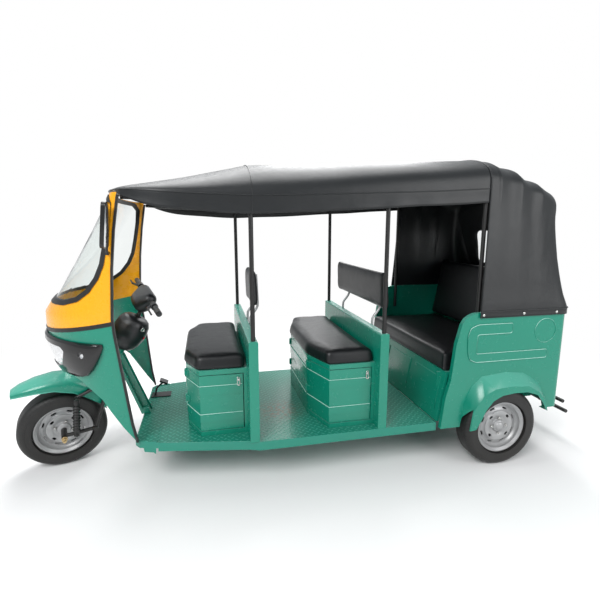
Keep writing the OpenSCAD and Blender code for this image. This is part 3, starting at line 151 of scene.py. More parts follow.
# Chassis frame, rear axle and leaf springs: welded steel tube and pressed rails, brushed with satin
# black paint that has picked up road dust low down.
def coated(name, colour, deep, rough, dust=0.0, dust_top=0.5, metallic=0.0, coat=0.0, grain=120.0,
           relief=0.02):
    """A painted or moulded finish: two close tones in broad clouds, a fine skin, and dust low down."""
    finish = bpy.data.materials.new(name)
    finish.use_nodes = True
    tree = finish.node_tree
    skin = tree.nodes["Principled BSDF"]
    skin.inputs["Metallic"].default_value = metallic
    skin.inputs["Coat Weight"].default_value = coat
    skin.inputs["Coat Roughness"].default_value = 0.12
    spot = wire(tree, "ShaderNodeTexCoord")
    cloud = wire(tree, "ShaderNodeTexNoise", Scale=3.2, Detail=5.0, Roughness=0.6,
                 Vector=spot.outputs["Object"])
    tone = wire(tree, "ShaderNodeMix", data_type="RGBA", A=(*colour, 1), B=(*deep, 1),
                Factor=cloud.outputs["Fac"])
    parts = wire(tree, "ShaderNodeSeparateXYZ", Vector=spot.outputs["Object"])
    height = wire(tree, "ShaderNodeMapRange", From_Min=0.02, From_Max=dust_top, To_Min=dust, To_Max=0.0,
                  Value=parts.outputs["Z"])
    speck = wire(tree, "ShaderNodeTexNoise", Scale=22.0, Detail=6.0, Roughness=0.7,
                 Vector=spot.outputs["Object"])
    patch = wire(tree, "ShaderNodeMath", operation="MULTIPLY")
    tree.links.new(height.outputs["Result"], patch.inputs[0])
    tree.links.new(speck.outputs["Fac"], patch.inputs[1])
    dusty = wire(tree, "ShaderNodeMix", data_type="RGBA", B=(0.23, 0.2, 0.165, 1), Factor=patch.outputs[0],
                 A=tone.outputs["Result"])
    tree.links.new(dusty.outputs["Result"], skin.inputs["Base Color"])
    sheen = wire(tree, "ShaderNodeMapRange", To_Min=rough - 0.05, To_Max=rough + 0.12,
                 Value=speck.outputs["Fac"])
    tree.links.new(sheen.outputs["Result"], skin.inputs["Roughness"])
    fine = wire(tree, "ShaderNodeTexNoise", Scale=grain, Detail=3.0, Vector=spot.outputs["Object"])
    bump = wire(tree, "ShaderNodeBump", Strength=relief * 5, Distance=0.001, Height=fine.outputs["Fac"])
    tree.links.new(bump.outputs["Normal"], skin.inputs["Normal"])
    return finish


def dress(finish, edge, *names):
    """A CAD node keeps its shape; it gets its finish, softly rounded edges and smooth curved faces."""
    for name in names:
        piece = nodes[name]
        for slot in piece.material_slots:
            slot.material = finish
        smooth = piece.modifiers.new("smooth_faces", "NODES")
        smooth.node_group = smoothing
        if edge:
            round_off = piece.modifiers.new("rounded_edges", "BEVEL")
            round_off.width = edge
            round_off.segments = 2
            round_off.limit_method = "ANGLE"
            round_off.angle_limit = math.radians(42)
            round_off.use_clamp_overlap = True


smoothing = bpy.data.node_groups.new("smooth_curved_faces", "GeometryNodeTree")
smoothing.interface.new_socket("Geometry", in_out="INPUT", socket_type="NodeSocketGeometry")
smoothing.interface.new_socket("Geometry", in_out="OUTPUT", socket_type="NodeSocketGeometry")
shape_in = wire(smoothing, "NodeGroupInput")
bare = wire(smoothing, "GeometryNodeRemoveAttribute", Name="custom_normal", Geometry=shape_in.outputs[0])
joined = wire(smoothing, "GeometryNodeMergeByDistance", Distance=0.00004, Geometry=bare.outputs["Geometry"])
all_smooth = wire(smoothing, "GeometryNodeSetShadeSmooth", domain="FACE",
                  Geometry=joined.outputs["Geometry"])
bend_of = wire(smoothing, "GeometryNodeInputMeshEdgeAngle")
is_corner = wire(smoothing, "FunctionNodeCompare", operation="GREATER_THAN", B=math.radians(34),
                 A=bend_of.outputs["Unsigned Angle"])
by_angle = wire(smoothing, "GeometryNodeSetShadeSmooth", domain="EDGE", Shade_Smooth=False,
                Geometry=all_smooth.outputs["Geometry"], Selection=is_corner.outputs["Result"])
shape_out = wire(smoothing, "NodeGroupOutput")
smoothing.links.new(by_angle.outputs["Geometry"], shape_out.inputs[0])

frame_black = coated("frame_black", (0.005, 0.005, 0.0055), (0.009, 0.0088, 0.0085), 0.36, dust=0.12,
                     dust_top=0.45)
dress(frame_black, 0.0012, "chassis_frame", "rear_axle", "leaf_springs", "rear_bumper", "front_fork",
      "brake_pedal", "canopy_frame")

# Floor deck, seat boxes, bench walls, doors, rear tub and the lower fairing: pressed sheet steel, sprayed in
# a glossy green enamel. A painted highlight makes it paler where it faces the sky. The deck is diamond tread
# plate.
green_body = coated("green_enamel", (0.004, 0.235, 0.155), (0.004, 0.21, 0.14), 0.22, dust=0.06, dust_top=0.4,
                    coat=0.15, grain=60.0, relief=0.001)
tree = green_body.node_tree
skin = tree.nodes["Principled BSDF"]
# Painted highlight: faces that look up are mixed towards a pale green, standing in for the light from above.
facing = wire(tree, "ShaderNodeNewGeometry")
turned_up = wire(tree, "ShaderNodeSeparateXYZ", Vector=facing.outputs["Normal"])
lit = wire(tree, "ShaderNodeMapRange", name="lit", From_Min=0.3, From_Max=0.95, To_Min=0.0, To_Max=0.5,
           Value=turned_up.outputs["Z"])
painted_sky_highlight = wire(tree, "ShaderNodeMix", name="painted_sky_highlight", data_type="RGBA", B=(0.2, 0.62, 0.5, 1),
                Factor=lit.outputs["Result"], A=skin.inputs["Base Color"].links[0].from_socket)
tree.links.new(painted_sky_highlight.outputs["Result"], skin.inputs["Base Color"])
dress(green_body, 0.0018, "front_fairing", "column_bracket", "driver_seat_box", "middle_seat_box",
      "bench_walls", "rear_body", "rear_seat_base", "driver_door_left", "driver_door_right",
      "middle_door_left", "middle_door_right", "front_mudguard")


def sums_in(tree):
    """A function that adds one arithmetic node to this tree, fed by sockets or by numbers."""
    def calc(operation, a, b=None):
        node = wire(tree, "ShaderNodeMath", operation=operation)
        for socket, value in zip(node.inputs, (a, b)):
            if isinstance(value, float):
                socket.default_value = value
            elif value is not None:
                tree.links.new(value, socket)
        return node.outputs[0]

    return calc


def tread_plate():
    """The same enamel, with raised bars in a checker of two directions on every face that looks up; the bars
    carry a painted highlight.
    """
    finish = coated("green_tread_plate", (0.006, 0.235, 0.165), (0.005, 0.2, 0.14), 0.3, dust=0.12,
                    dust_top=0.4, coat=0.1, grain=60.0, relief=0.001)
    tree = finish.node_tree
    skin = tree.nodes["Principled BSDF"]
    spot = next(n for n in tree.nodes if n.type == "TEX_COORD")
    bar_pitch = 0.03
    turn = wire(tree, "ShaderNodeMapping", Rotation=(0, 0, math.radians(45)),
                Scale=(1 / bar_pitch, 1 / bar_pitch, 1), Vector=spot.outputs["Object"])
    split = wire(tree, "ShaderNodeSeparateXYZ", Vector=turn.outputs["Vector"])
    calc = sums_in(tree)
    u, v = split.outputs["X"], split.outputs["Y"]
    across = calc("SUBTRACT", calc("FRACT", u), 0.5)
    along = calc("SUBTRACT", calc("FRACT", v), 0.5)
    odd = calc("MODULO", calc("ABSOLUTE", calc("ADD", calc("FLOOR", u), calc("FLOOR", v))), 2.0)

    def bar(p, q):
        long_way = calc("POWER", calc("ABSOLUTE", calc("DIVIDE", p, 0.46)), 2.0)
        short_way = calc("POWER", calc("ABSOLUTE", calc("DIVIDE", q, 0.15)), 2.0)
        return calc("MAXIMUM", calc("SUBTRACT", 1.0, calc("ADD", long_way, short_way)), 0.0)

    first = calc("MULTIPLY", bar(across, along), odd)
    second = calc("MULTIPLY", bar(along, across), calc("SUBTRACT", 1.0, odd))
    both = calc("POWER", calc("ADD", first, second), 0.5)
    facing = wire(tree, "ShaderNodeNewGeometry")
    faced = wire(tree, "ShaderNodeSeparateXYZ", Vector=facing.outputs["Normal"])
    up = calc("GREATER_THAN", faced.outputs["Z"], 0.7)
    raised = calc("MULTIPLY", both, up)
    bump = wire(tree, "ShaderNodeBump", Strength=1.0, Distance=0.006, Height=raised)
    base_link = skin.inputs["Base Color"].links[0].from_socket
    # Painted highlight: the raised bars are mixed towards a pale green.
    painted_bar_highlight = wire(tree, "ShaderNodeMix", data_type="RGBA", B=(0.16, 0.62, 0.48, 1),
                  Factor=calc("MULTIPLY", raised, 0.55), A=base_link)
    # Rust that has come up through the paint in the foot space ahead of the middle box
    rust_middle = (0.2, 0.2, 0.298)
    away = wire(tree, "ShaderNodeVectorMath", operation="DISTANCE")
    away.inputs[1].default_value = rust_middle
    tree.links.new(spot.outputs["Object"], away.inputs[0])
    near = wire(tree, "ShaderNodeMapRange", From_Min=0.02, From_Max=0.2, To_Min=0.85, To_Max=0.0,
                Value=away.outputs["Value"])
    blotch = wire(tree, "ShaderNodeTexNoise", Scale=34.0, Detail=6.0, Roughness=0.75,
                  Vector=spot.outputs["Object"])
    bitten = wire(tree, "ShaderNodeMapRange", From_Min=0.42, From_Max=0.62, Value=blotch.outputs["Fac"])
    rusty = wire(tree, "ShaderNodeMix", data_type="RGBA", B=(0.2, 0.085, 0.035, 1),
                 A=painted_bar_highlight.outputs["Result"],
                 Factor=calc("MULTIPLY", near.outputs["Result"], bitten.outputs["Result"]))
    tree.links.new(rusty.outputs["Result"], skin.inputs["Base Color"])
    old = skin.inputs["Normal"].links[0].from_node
    tree.links.new(old.outputs["Normal"], bump.inputs["Normal"])
    tree.links.new(bump.outputs["Normal"], skin.inputs["Normal"])
    return finish


deck_plate = tread_plate()
dress(deck_plate, 0.0015, "floor")

# Windscreen surround: pressed steel in yellow enamel, with a black rubber seal that holds clear glass, and
# black edge strips down the fairing.
yellow_body = coated("yellow_enamel", (0.93, 0.4, 0.002), (0.89, 0.37, 0.003), 0.24, coat=0.1, grain=60.0,
                     relief=0.001)
dress(yellow_body, 0.0018, "windscreen_surround")
strip_rubber = coated("strip_rubber", (0.005, 0.005, 0.005), (0.009, 0.009, 0.009), 0.42, dust=0.04)
dress(strip_rubber, 0.001, "fairing_trim", "front_shocks")


def clear_glass(name, tint, rough):
    """Thin clear glass or film with faint streaks of dust."""
    finish = bpy.data.materials.new(name)
    finish.use_nodes = True
    tree = finish.node_tree
    skin = tree.nodes["Principled BSDF"]
    skin.inputs["Transmission Weight"].default_value = 1.0
    skin.inputs["IOR"].default_value = 1.1
    spot = wire(tree, "ShaderNodeTexCoord")
    streak = wire(tree, "ShaderNodeTexNoise", Scale=9.0, Detail=6.0, Vector=spot.outputs["Object"])
    haze = wire(tree, "ShaderNodeMapRange", To_Min=rough, To_Max=rough + 0.01, Value=streak.outputs["Fac"])
    tree.links.new(haze.outputs["Result"], skin.inputs["Roughness"])
    tone = wire(tree, "ShaderNodeMix", data_type="RGBA", A=(*tint, 1), B=(*(0.93 * c for c in tint), 1),
                Factor=streak.outputs["Fac"])
    tree.links.new(tone.outputs["Result"], skin.inputs["Base Color"])
    return finish


window_glass = clear_glass("window_glass", (0.93, 0.96, 0.95), 0.0)
dress(window_glass, 0, "windscreen")

# Headlamps and mirror shells: glossy black mouldings. Each lamp housing wraps round the fairing, to which it
# is screwed, with a silvered, fluted reflector let into its front.
lamp_black = coated("lamp_black", (0.003, 0.003, 0.0035), (0.005, 0.005, 0.0055), 0.14, coat=0.2, grain=30.0,
                    relief=0.0008)
dress(lamp_black, 0.0015, "headlamp_housings", "mirrors")
lamp_silver = coated("lamp_silver", (0.86, 0.87, 0.88), (0.62, 0.63, 0.65), 0.08, metallic=0.85, coat=1.0)
tree = lamp_silver.node_tree
skin = tree.nodes["Principled BSDF"]
spot = next(n for n in tree.nodes if n.type == "TEX_COORD")
flutes = wire(tree, "ShaderNodeTexVoronoi", Scale=46.0, Vector=spot.outputs["Object"])
facet = wire(tree, "ShaderNodeBump", Strength=0.7, Distance=0.006, Height=flutes.outputs["Distance"])
tree.links.new(facet.outputs["Normal"], skin.inputs["Normal"])
dress(lamp_silver, 0.001, "headlamp_lenses")

# Cowl, handlebar and battery case: dark grey moulded plastic with the mould's satin grain, screwed to the
# steering head and strapped down inside the middle box.
grey_moulding = coated("grey_moulding", (0.01, 0.011, 0.0125), (0.015, 0.016, 0.018), 0.34, grain=400.0)
dress(grey_moulding, 0.0015, "steering_cowl", "handlebar", "battery_pack")

# Wheels: pressed steel rims in silver paint under black rubber tyres, moulded with two wavy grooves and
# slanted blocks at the shoulders. The tread is worked out round each wheel's own axle.
rim_silver = coated("rim_silver", (0.42, 0.425, 0.43), (0.34, 0.345, 0.35), 0.38, dust=0.25, dust_top=0.4,
                    metallic=0.5)
dress(rim_silver, 0.001, "rear_left_rim", "rear_right_rim", "front_rim")


def tyre_rubber(name, centre, axle):
    """Black rubber with block tread round this wheel's own axle, and moulded rings on the sidewall."""
    finish = coated(name, (0.007, 0.007, 0.007), (0.011, 0.0105, 0.01), 0.5, dust=0.07, dust_top=0.4)
    tree = finish.node_tree
    skin = tree.nodes["Principled BSDF"]
    spot = next(n for n in tree.nodes if n.type == "TEX_COORD")
    axle = Vector(axle).normalized()
    ahead = axle.orthogonal().normalized()
    aside = axle.cross(ahead)
    arm = wire(tree, "ShaderNodeVectorMath", operation="SUBTRACT")
    arm.inputs[1].default_value = centre
    tree.links.new(spot.outputs["Object"], arm.inputs[0])

    def measured(direction):
        dot = wire(tree, "ShaderNodeVectorMath", operation="DOT_PRODUCT")
        dot.inputs[1].default_value = direction
        tree.links.new(arm.outputs["Vector"], dot.inputs[0])
        return dot.outputs["Value"]

    calc = sums_in(tree)
    across, p, q = measured(axle), measured(ahead), measured(aside)
    turn = calc("ARCTAN2", q, p)
    out = calc("SQRT", calc("ADD", calc("MULTIPLY", p, p), calc("MULTIPLY", q, q)))
    side = calc("ABSOLUTE", across)
    wave = calc("MULTIPLY", calc("PINGPONG", calc("MULTIPLY", turn, 5.73), 0.5), 0.008)

    def groove_at(offset):
        from_groove = calc("ABSOLUTE", calc("SUBTRACT", calc("ADD", side, wave), offset))
        return calc("LESS_THAN", from_groove, 0.003)

    inner, outer = groove_at(0.021), groove_at(0.047)
    slant = calc("ADD", calc("MULTIPLY", turn, 9.55), calc("MULTIPLY", side, 22.0))
    block_gap = calc("LESS_THAN", calc("FRACT", slant), 0.17)
    cut = calc("MULTIPLY", block_gap, calc("GREATER_THAN", side, 0.026))
    groove = calc("MAXIMUM", calc("MAXIMUM", inner, outer), cut)
    treaded = calc("MULTIPLY", groove, calc("GREATER_THAN", out, 0.226))
    wall = calc("LESS_THAN", out, 0.222)
    bead = calc("LESS_THAN", calc("ABSOLUTE", calc("SUBTRACT", out, 0.212)), 0.0016)
    bead_in = calc("LESS_THAN", calc("ABSOLUTE", calc("SUBTRACT", out, 0.183)), 0.0013)
    level = calc("ADD", calc("SUBTRACT", 1.0, treaded),
                 calc("MULTIPLY", calc("MULTIPLY", calc("MAXIMUM", bead, bead_in), wall), 0.35))
    bump = wire(tree, "ShaderNodeBump", Strength=1.0, Distance=0.004, Height=level)
    old = skin.inputs["Normal"].links[0].from_node
    tree.links.new(old.outputs["Normal"], bump.inputs["Normal"])
    tree.links.new(bump.outputs["Normal"], skin.inputs["Normal"])
    # Painted shade: the tread grooves are darkened.
    painted_groove_shade = wire(tree, "ShaderNodeMix", data_type="RGBA", B=(0.003, 0.003, 0.003, 1),
                 Factor=calc("MULTIPLY", treaded, 0.8), A=skin.inputs["Base Color"].links[0].from_socket)
    tree.links.new(painted_groove_shade.outputs["Result"], skin.inputs["Base Color"])
    return finish


front_axle = Vector((1.579051, 0.028627, 0.256718))
front_axis = Vector((-0.296198, 0.939693, -0.17101))
track, axle_height = 0.605, 0.254
wheels = (("rear_left", at(0, track, axle_height), Vector((0, 1, 0))),
          ("rear_right", at(0, -track, axle_height), Vector((0, -1, 0))),
          ("front", front_axle, front_axis))
for name, centre, axle in wheels:
    dress(tyre_rubber(name + "_tyre_rubber", centre, axle), 0, name + "_tyre")


# Hub caps, wheel nuts and brake drums: turned steel, pressed or screwed on, the drums in black paint. The
# front axle ends in a brass nut on each side.
def applied(piece, kind, **settings):
    """A modifier is added with its settings and made part of the mesh."""
    bpy.ops.object.select_all(action="DESELECT")
    piece.select_set(True)
    bpy.context.view_layer.objects.active = piece
    step = piece.modifiers.new(kind.lower(), kind)
    for key, value in settings.items():
        setattr(step, key, value)
    bpy.ops.object.modifier_apply(modifier=step.name)
    return piece


def fitted(piece, finish, body, smooth=True):
    """A new piece gets its finish and rides on its body."""
    for face in piece.data.polygons:
        face.use_smooth = smooth
    piece.data.materials.clear()
    piece.data.materials.append(finish)
    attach(piece, body)
    return piece


def turned(name, profile, foot, axis, finish, body, sides=24, places=((0, 0),)):
    """Round or many-sided pieces of one profile, (radius, height) pairs, that stand on a plane at foot."""
    upright = Vector((0, 0, 1)).rotation_difference(Vector(axis).normalized())
    mesh = bpy.data.meshes.new(name)
    shape = bmesh.new()
    for x, y in places:
        rings = [[shape.verts.new((r * math.cos(math.tau * k / sides) + x,
                                   r * math.sin(math.tau * k / sides) + y, h))
                  for k in range(sides)] for r, h in profile]
        for low, high in zip(rings, rings[1:]):
            for k in range(sides):
                shape.faces.new((low[k], low[(k + 1) % sides], high[(k + 1) % sides], high[k]))
        shape.faces.new(rings[-1])
        shape.faces.new(reversed(rings[0]))
    shape.to_mesh(mesh)
    shape.free()
    mesh.transform(Matrix.Translation(foot) @ upright.to_matrix().to_4x4())
    piece = bpy.data.objects.new(name, mesh)
    bpy.context.scene.collection.objects.link(piece)
    applied(piece, "BEVEL", width=0.0006, segments=1, limit_method="ANGLE", angle_limit=math.radians(30))
    return fitted(piece, finish, body, smooth=sides > 8)


bright_zinc = coated("bright_zinc", (0.62, 0.62, 0.6), (0.5, 0.5, 0.48), 0.2, metallic=0.95)
brass = coated("brass", (0.66, 0.5, 0.27), (0.55, 0.4, 0.2), 0.28, metallic=0.95)
nut_ring = [(0.051 * math.cos(math.radians(90 * k)), 0.051 * math.sin(math.radians(90 * k)))
            for k in range(4)]
nut_profile = ((0.0085, 0), (0.0085, 0.011), (0.005, 0.012), (0.005, 0.019))
drum_profile = ((0.118, -0.03), (0.125, -0.026), (0.125, -0.004), (0.118, 0))
cap_profile = ((0.03, 0.0003), (0.03, 0.004), (0.026, 0.009), (0.016, 0.013), (0.004, 0.0145))
rim_face, hub_face = 0.0283, 0.0423
for name, centre, axle in wheels:
    turned(name + "_wheel_nuts", nut_profile, centre + axle * rim_face, axle, bright_zinc, name + "_wheel",
           sides=6, places=nut_ring)
    turned(name + "_brake_drum", drum_profile, centre, axle, frame_black, name + "_wheel",
           sides=40)
for name, centre, axle in wheels[:2]:
    turned(name + "_hub_cap", cap_profile, centre + axle * hub_face, axle, rim_silver, name + "_wheel",
           sides=32)
axle_end = 0.1503
for name, side in (("left", 1), ("right", -1)):
    turned("front_axle_nut_" + name,
           ((0.019, 0), (0.019, 0.004), (0.0145, 0.005), (0.0145, 0.019), (0.009, 0.021), (0.009, 0.034)),
           front_axle + front_axis * side * axle_end, front_axis * side, brass, "steering",
           sides=6)

# Ignition switch and horn button: a plated steel bezel and a red plastic cap, pushed into the two bosses on
# the cowl's near side.
turned("ignition_bezel", ((0.0135, 0.0003), (0.0135, 0.002), (0.0095, 0.0035), (0.0085, 0.0015)),
       Vector((1.0517, 0.0883, 0.8749)), (-0.5332, 0.788, -0.3078), bright_zinc, "chassis")
red_cap = coated("red_cap", (0.6, 0.012, 0.01), (0.5, 0.01, 0.008), 0.25)
turned("horn_button", ((0.0075, 0.0003), (0.0075, 0.002), (0.005, 0.004), (0.001, 0.0045)),
       Vector((1.0538, 0.0526, 0.8114)), (-0.7646, 0.4695, -0.4415), red_cap, "chassis")

# Tail lamps: red mouldings with a glossy face, screwed to the rear panel of the tub at its outer corners,
# above the bumper.
red_lens = coated("red_lens", (0.45, 0.01, 0.008), (0.38, 0.008, 0.006), 0.14, coat=0.5)
dress(red_lens, 0.001, "tail_lamps")

# Bench cushions and the rear seat: shaped foam in black vinyl, stapled round a board, so the covers crown
# in the middle and draw in along their sides. Each is swollen by a cloth simulation from a cut block.
def cut_block(name, outline, low, high, place):
    """A block with this outline, from low to high. place turns (u, v, w) into a point of the frame."""
    bpy.ops.object.select_all(action="DESELECT")
    bpy.ops.mesh.primitive_circle_add(vertices=len(outline), radius=0.1, fill_type="NGON")
    block = bpy.context.object
    block.name = name
    for vertex, (u, v) in zip(block.data.vertices, outline):
        vertex.co = place(u, v, low)
    bpy.ops.object.mode_set(mode="EDIT")
    bpy.ops.mesh.select_all(action="SELECT")
    bpy.ops.mesh.extrude_region_move(
        TRANSFORM_OT_translate={"value": place(0, 0, high) - place(0, 0, low), "orient_type": "GLOBAL"})
    bpy.ops.mesh.select_all(action="SELECT")
    bpy.ops.mesh.normals_make_consistent(inside=False)
    bpy.ops.object.mode_set(mode="OBJECT")
    return block


def swell(piece, push, most, held):
    """Air pressure inside the cover, with each point kept within its own reach of where it was."""
    scene = bpy.context.scene
    before = [v.co.copy() for v in piece.data.vertices]
    cover = piece.modifiers.new("cover", "CLOTH")
    cover.settings.quality = 5
    cover.settings.mass = 0.3
    cover.settings.tension_stiffness = 12
    cover.settings.compression_stiffness = 12
    cover.settings.bending_stiffness = 1.5
    cover.settings.use_pressure = True
    cover.settings.uniform_pressure_force = push
    cover.settings.effector_weights.gravity = 0
    cover.point_cache.frame_start = 1
    cover.point_cache.frame_end = 20
    for step in range(1, 21):
        scene.frame_set(step)
    swollen = piece.evaluated_get(bpy.context.evaluated_depsgraph_get())
    after = [v.co.copy() for v in swollen.data.vertices]
    piece.modifiers.remove(cover)
    scene.frame_set(1)
    for vertex, old, new in zip(piece.data.vertices, before, after):
        move = new - old
        reach = most * (1 - held(old))
        if move.length > reach:
            move *= reach / move.length
        vertex.co = old + move
    applied(piece, "SMOOTH", factor=0.5, iterations=9)


def upholster(piece, push, most, held, replaced):
    """Rounds the block, remeshes it, swells it and covers it in place of its CAD node."""
    applied(piece, "BEVEL", width=0.016, segments=3, limit_method="ANGLE", angle_limit=math.radians(50))
    applied(piece, "REMESH", mode="VOXEL", voxel_size=0.0105)
    swell(piece, push, most, held)
    applied(piece, "SUBSURF", levels=1, render_levels=1)
    fitted(piece, cushion_vinyl, "chassis")
    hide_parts(replaced)


def rounded(points, reach, steps=5):
    """The same outline with its corners rounded over a reach."""
    result = []
    for k, p in enumerate(points):
        p = Vector(p)
        a = (Vector(points[k - 1]) - p).normalized() * reach
        b = (Vector(points[(k + 1) % len(points)]) - p).normalized() * reach
        for s in range(steps + 1):
            t = s / steps
            result.append(p + (1 - t) ** 2 * a + t ** 2 * b)
    return result


def welt(name, points, radius, finish, body, closed=False, sides=8):
    """Piping, a bead or a bent tube along a line of points."""
    line = bpy.data.curves.new(name, "CURVE")
    line.dimensions = "3D"
    line.bevel_depth = radius
    line.bevel_resolution = sides // 4
    line.use_fill_caps = not closed
    run = line.splines.new("POLY")
    run.points.add(len(points) - 1)
    for knot, p in zip(run.points, points):
        knot.co = (*p, 1)
    run.use_cyclic_u = closed
    piece = bpy.data.objects.new(name, line)
    bpy.context.scene.collection.objects.link(piece)
    bpy.ops.object.select_all(action="DESELECT")
    piece.select_set(True)
    bpy.context.view_layer.objects.active = piece
    bpy.ops.object.convert(target="MESH")
    return fitted(bpy.context.object, finish, body)


def seat_vinyl(name, tone, deep, crease, shine):
    """Black vinyl: fine pebbled grain, broad shallow creases, and a soft sheen where it is rubbed."""
    finish = coated(name, tone, deep, 0.36, grain=900.0, relief=0.03)
    tree = finish.node_tree
    skin = tree.nodes["Principled BSDF"]
    skin.inputs["Specular IOR Level"].default_value = shine
    spot = next(n for n in tree.nodes if n.type == "TEX_COORD")
    pebble = wire(tree, "ShaderNodeTexVoronoi", Scale=420.0, Vector=spot.outputs["Object"])
    fold = wire(tree, "ShaderNodeTexNoise", Scale=7.0, Detail=3.0, Distortion=1.4,
                Vector=spot.outputs["Object"])
    crest = wire(tree, "ShaderNodeMapRange", From_Min=0.35, From_Max=0.65, Value=fold.outputs["Fac"])
    coarse = wire(tree, "ShaderNodeBump", Strength=crease, Distance=0.006, Height=crest.outputs["Result"])
    fine = wire(tree, "ShaderNodeBump", Strength=0.25, Distance=0.0006, Height=pebble.outputs["Distance"])
    old = skin.inputs["Normal"].links[0].from_node
    tree.links.new(coarse.outputs["Normal"], fine.inputs["Normal"])
    tree.links.new(fine.outputs["Normal"], old.inputs["Normal"])
    return finish


cushion_vinyl = seat_vinyl("cushion_vinyl", (0.0045, 0.005, 0.006), (0.007, 0.008, 0.009), 0.04, 0.4)
# Each bench: the station of its wall's front face, and the depth and half width of its box
benches = {"driver": (1.591, 0.355, 0.45), "middle": (0.813, 0.37, 0.515)}
front_half, corner_cut = 0.27, 0.08
for kind, (wall, depth, half) in benches.items():
    back, front, edge = wall + 0.005, wall + depth + 0.014, half + 0.004
    shape = [(back, -edge), (front - corner_cut, -edge), (front, -front_half), (front, front_half),
             (front - corner_cut, edge), (back, edge)]
    cushion = cut_block(kind + "_seat_cushion", rounded(shape, 0.03), 0.701, 0.778, at)
    upholster(cushion, 4.0, 0.012, lambda p: min(max((0.76 - p.z) / 0.05, 0.0), 1.0), kind + "_cushion")

# Backrest pads: foam blocks in the same vinyl, each on two bent steel tubes in silver paint, which are bolted
# to the rear face of the bench wall.
wall_thickness = 0.054
for kind, low_half, top_half, tube_y in (("driver", 0.19, 0.168, 0.09), ("middle", 0.48, 0.468, 0.3)):
    back_face = benches[kind][0] - wall_thickness
    shape = [(-low_half, 1.007), (low_half, 1.007), (top_half, 1.248), (-top_half, 1.248)]
    pad = cut_block(kind + "_back_pad", rounded(shape, 0.045), 0.014, 0.05,
                    lambda v, z, w: at(back_face - w + (z - 1.005) * 0.033, v, z))
    upholster(pad, 4.0, 0.008, lambda p: 0.0, kind + "_backrest")
    for hand, side in (("right", -1), ("left", 1)):
        tube = welt(kind + "_back_pad_tube_" + hand,
                    [at(back_face + x, side * tube_y, z) for x, z in (
                        (-0.0085, 0.8), (-0.0085, 0.9), (-0.01, 0.925), (-0.02, 0.943), (-0.036, 0.962),
                        (-0.05, 0.982), (-0.058, 1.0), (-0.0595, 1.02), (-0.056, 1.12), (-0.052, 1.21))],
                    0.008, rim_silver, "chassis", sides=12)
        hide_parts(kind + "_backrest")

# Rear seat: a cushion and a backrest of foam in the same vinyl, pushed in between the sides of the rear tub
# and held by their boards.
shape = [(-0.2455, 0.624), (0.375, 0.624), (0.386, 0.655), (0.382, 0.738), (-0.2455, 0.738)]
rear_seat = cut_block("rear_seat_cushion", rounded(shape, 0.02), -0.572, 0.572, lambda u, z, w: at(u, w, z))
upholster(rear_seat, 5.0, 0.014, lambda p: 1.0 if p.z < 0.64 else 0.0, "rear_cushion")
shape = [(-0.262, 0.752), (-0.17, 0.752), (-0.247, 1.23), (-0.318, 1.23)]
rear_back = cut_block("rear_seat_back", rounded(shape, 0.022), -0.556, 0.556, lambda u, z, w: at(u, w, z))
upholster(rear_back, 5.0, 0.012, lambda p: 0.0, "rear_backrest")

# Canopy roof: one sheet of padded black vinyl, drawn over the bows and the front rail, with a valance
# that hangs below a piped side seam. It dips a little between the bows, where nothing carries it.
def curve(t, a, b, rise_a, rise_b):
    """The place at t on a smooth curve from a to b that leaves and arrives with these slopes."""
    return ((2 * t ** 3 - 3 * t ** 2 + 1) * a + (t ** 3 - 2 * t ** 2 + t) * rise_a
            + (3 * t ** 2 - 2 * t ** 3) * b + (t ** 3 - t ** 2) * rise_b)


def eased(table, x):
    """The row of values at x, on smooth curves through a table whose rows start with x, falling."""
    k = next((k for k in range(len(table) - 2) if x >= table[k + 1][0]), len(table) - 2)
    a, b = table[k], table[k + 1]
    before, after = table[max(k - 1, 0)], table[min(k + 2, len(table) - 1)]
    step = b[0] - a[0]
    return [curve((x - a[0]) / step, a[c], b[c], (b[c] - before[c]) / (b[0] - before[0]) * step,
                  (after[c] - a[c]) / (after[0] - a[0]) * step) for c in range(1, len(a))]


def arch_point(angle, squareness):
    """A point of a rounded arch of unit size, from its right foot over the top to its left foot."""
    c, s = math.cos(angle), math.sin(angle)
    return math.copysign(abs(c) ** (2 / squareness), c), max(s, 0.0) ** (2 / squareness)


def vinyl_sheet(name, grid, thick):
    """A sheet through rows of points, with its thickness on the inside."""
    columns = len(grid[0])
    bpy.ops.object.select_all(action="DESELECT")
    bpy.ops.mesh.primitive_grid_add(x_subdivisions=columns - 1, y_subdivisions=len(grid) - 1, size=1)
    cloth = bpy.context.object
    cloth.name = name
    for k, vertex in enumerate(cloth.data.vertices):
        vertex.co = grid[k // columns][k % columns]
    return applied(cloth, "SOLIDIFY", thickness=thick, offset=-1)


# Roof sections front to rear: station, half width, drop back towards the sides, height of the valance's lower
# edge, of the side seam and of the centre line, and how square the arch is
roof_sections = (
    (2.345, 0.480, 0.110, 1.694, 1.703, 1.716, 2.1), (2.250, 0.530, 0.050, 1.672, 1.702, 1.736, 2.1),
    (2.130, 0.575, 0.020, 1.636, 1.698, 1.762, 2.1), (2.000, 0.600, 0.000, 1.612, 1.691, 1.790, 2.1),
    (1.797, 0.600, 0.000, 1.596, 1.683, 1.834, 2.1), (1.668, 0.600, 0.000, 1.588, 1.680, 1.862, 2.1),
    (1.540, 0.600, 0.000, 1.586, 1.678, 1.889, 2.1), (1.340, 0.600, 0.000, 1.592, 1.684, 1.897, 2.25),
    (1.140, 0.600, 0.000, 1.601, 1.691, 1.905, 2.4), (0.791, 0.600, 0.000, 1.620, 1.705, 1.919, 2.7),
    (0.480, 0.600, 0.000, 1.638, 1.718, 1.932, 2.95), (0.157, 0.600, 0.000, 1.656, 1.738, 1.943, 3.15))
roof_bows = (2.345, 1.564, 0.786, 0.17)
header, roof_length, seam_station = 2.345, 2.188, 1.556
valance_rows, arch_rows, roof_stations = 6, 48, 150
roof_columns = 2 * valance_rows + arch_rows


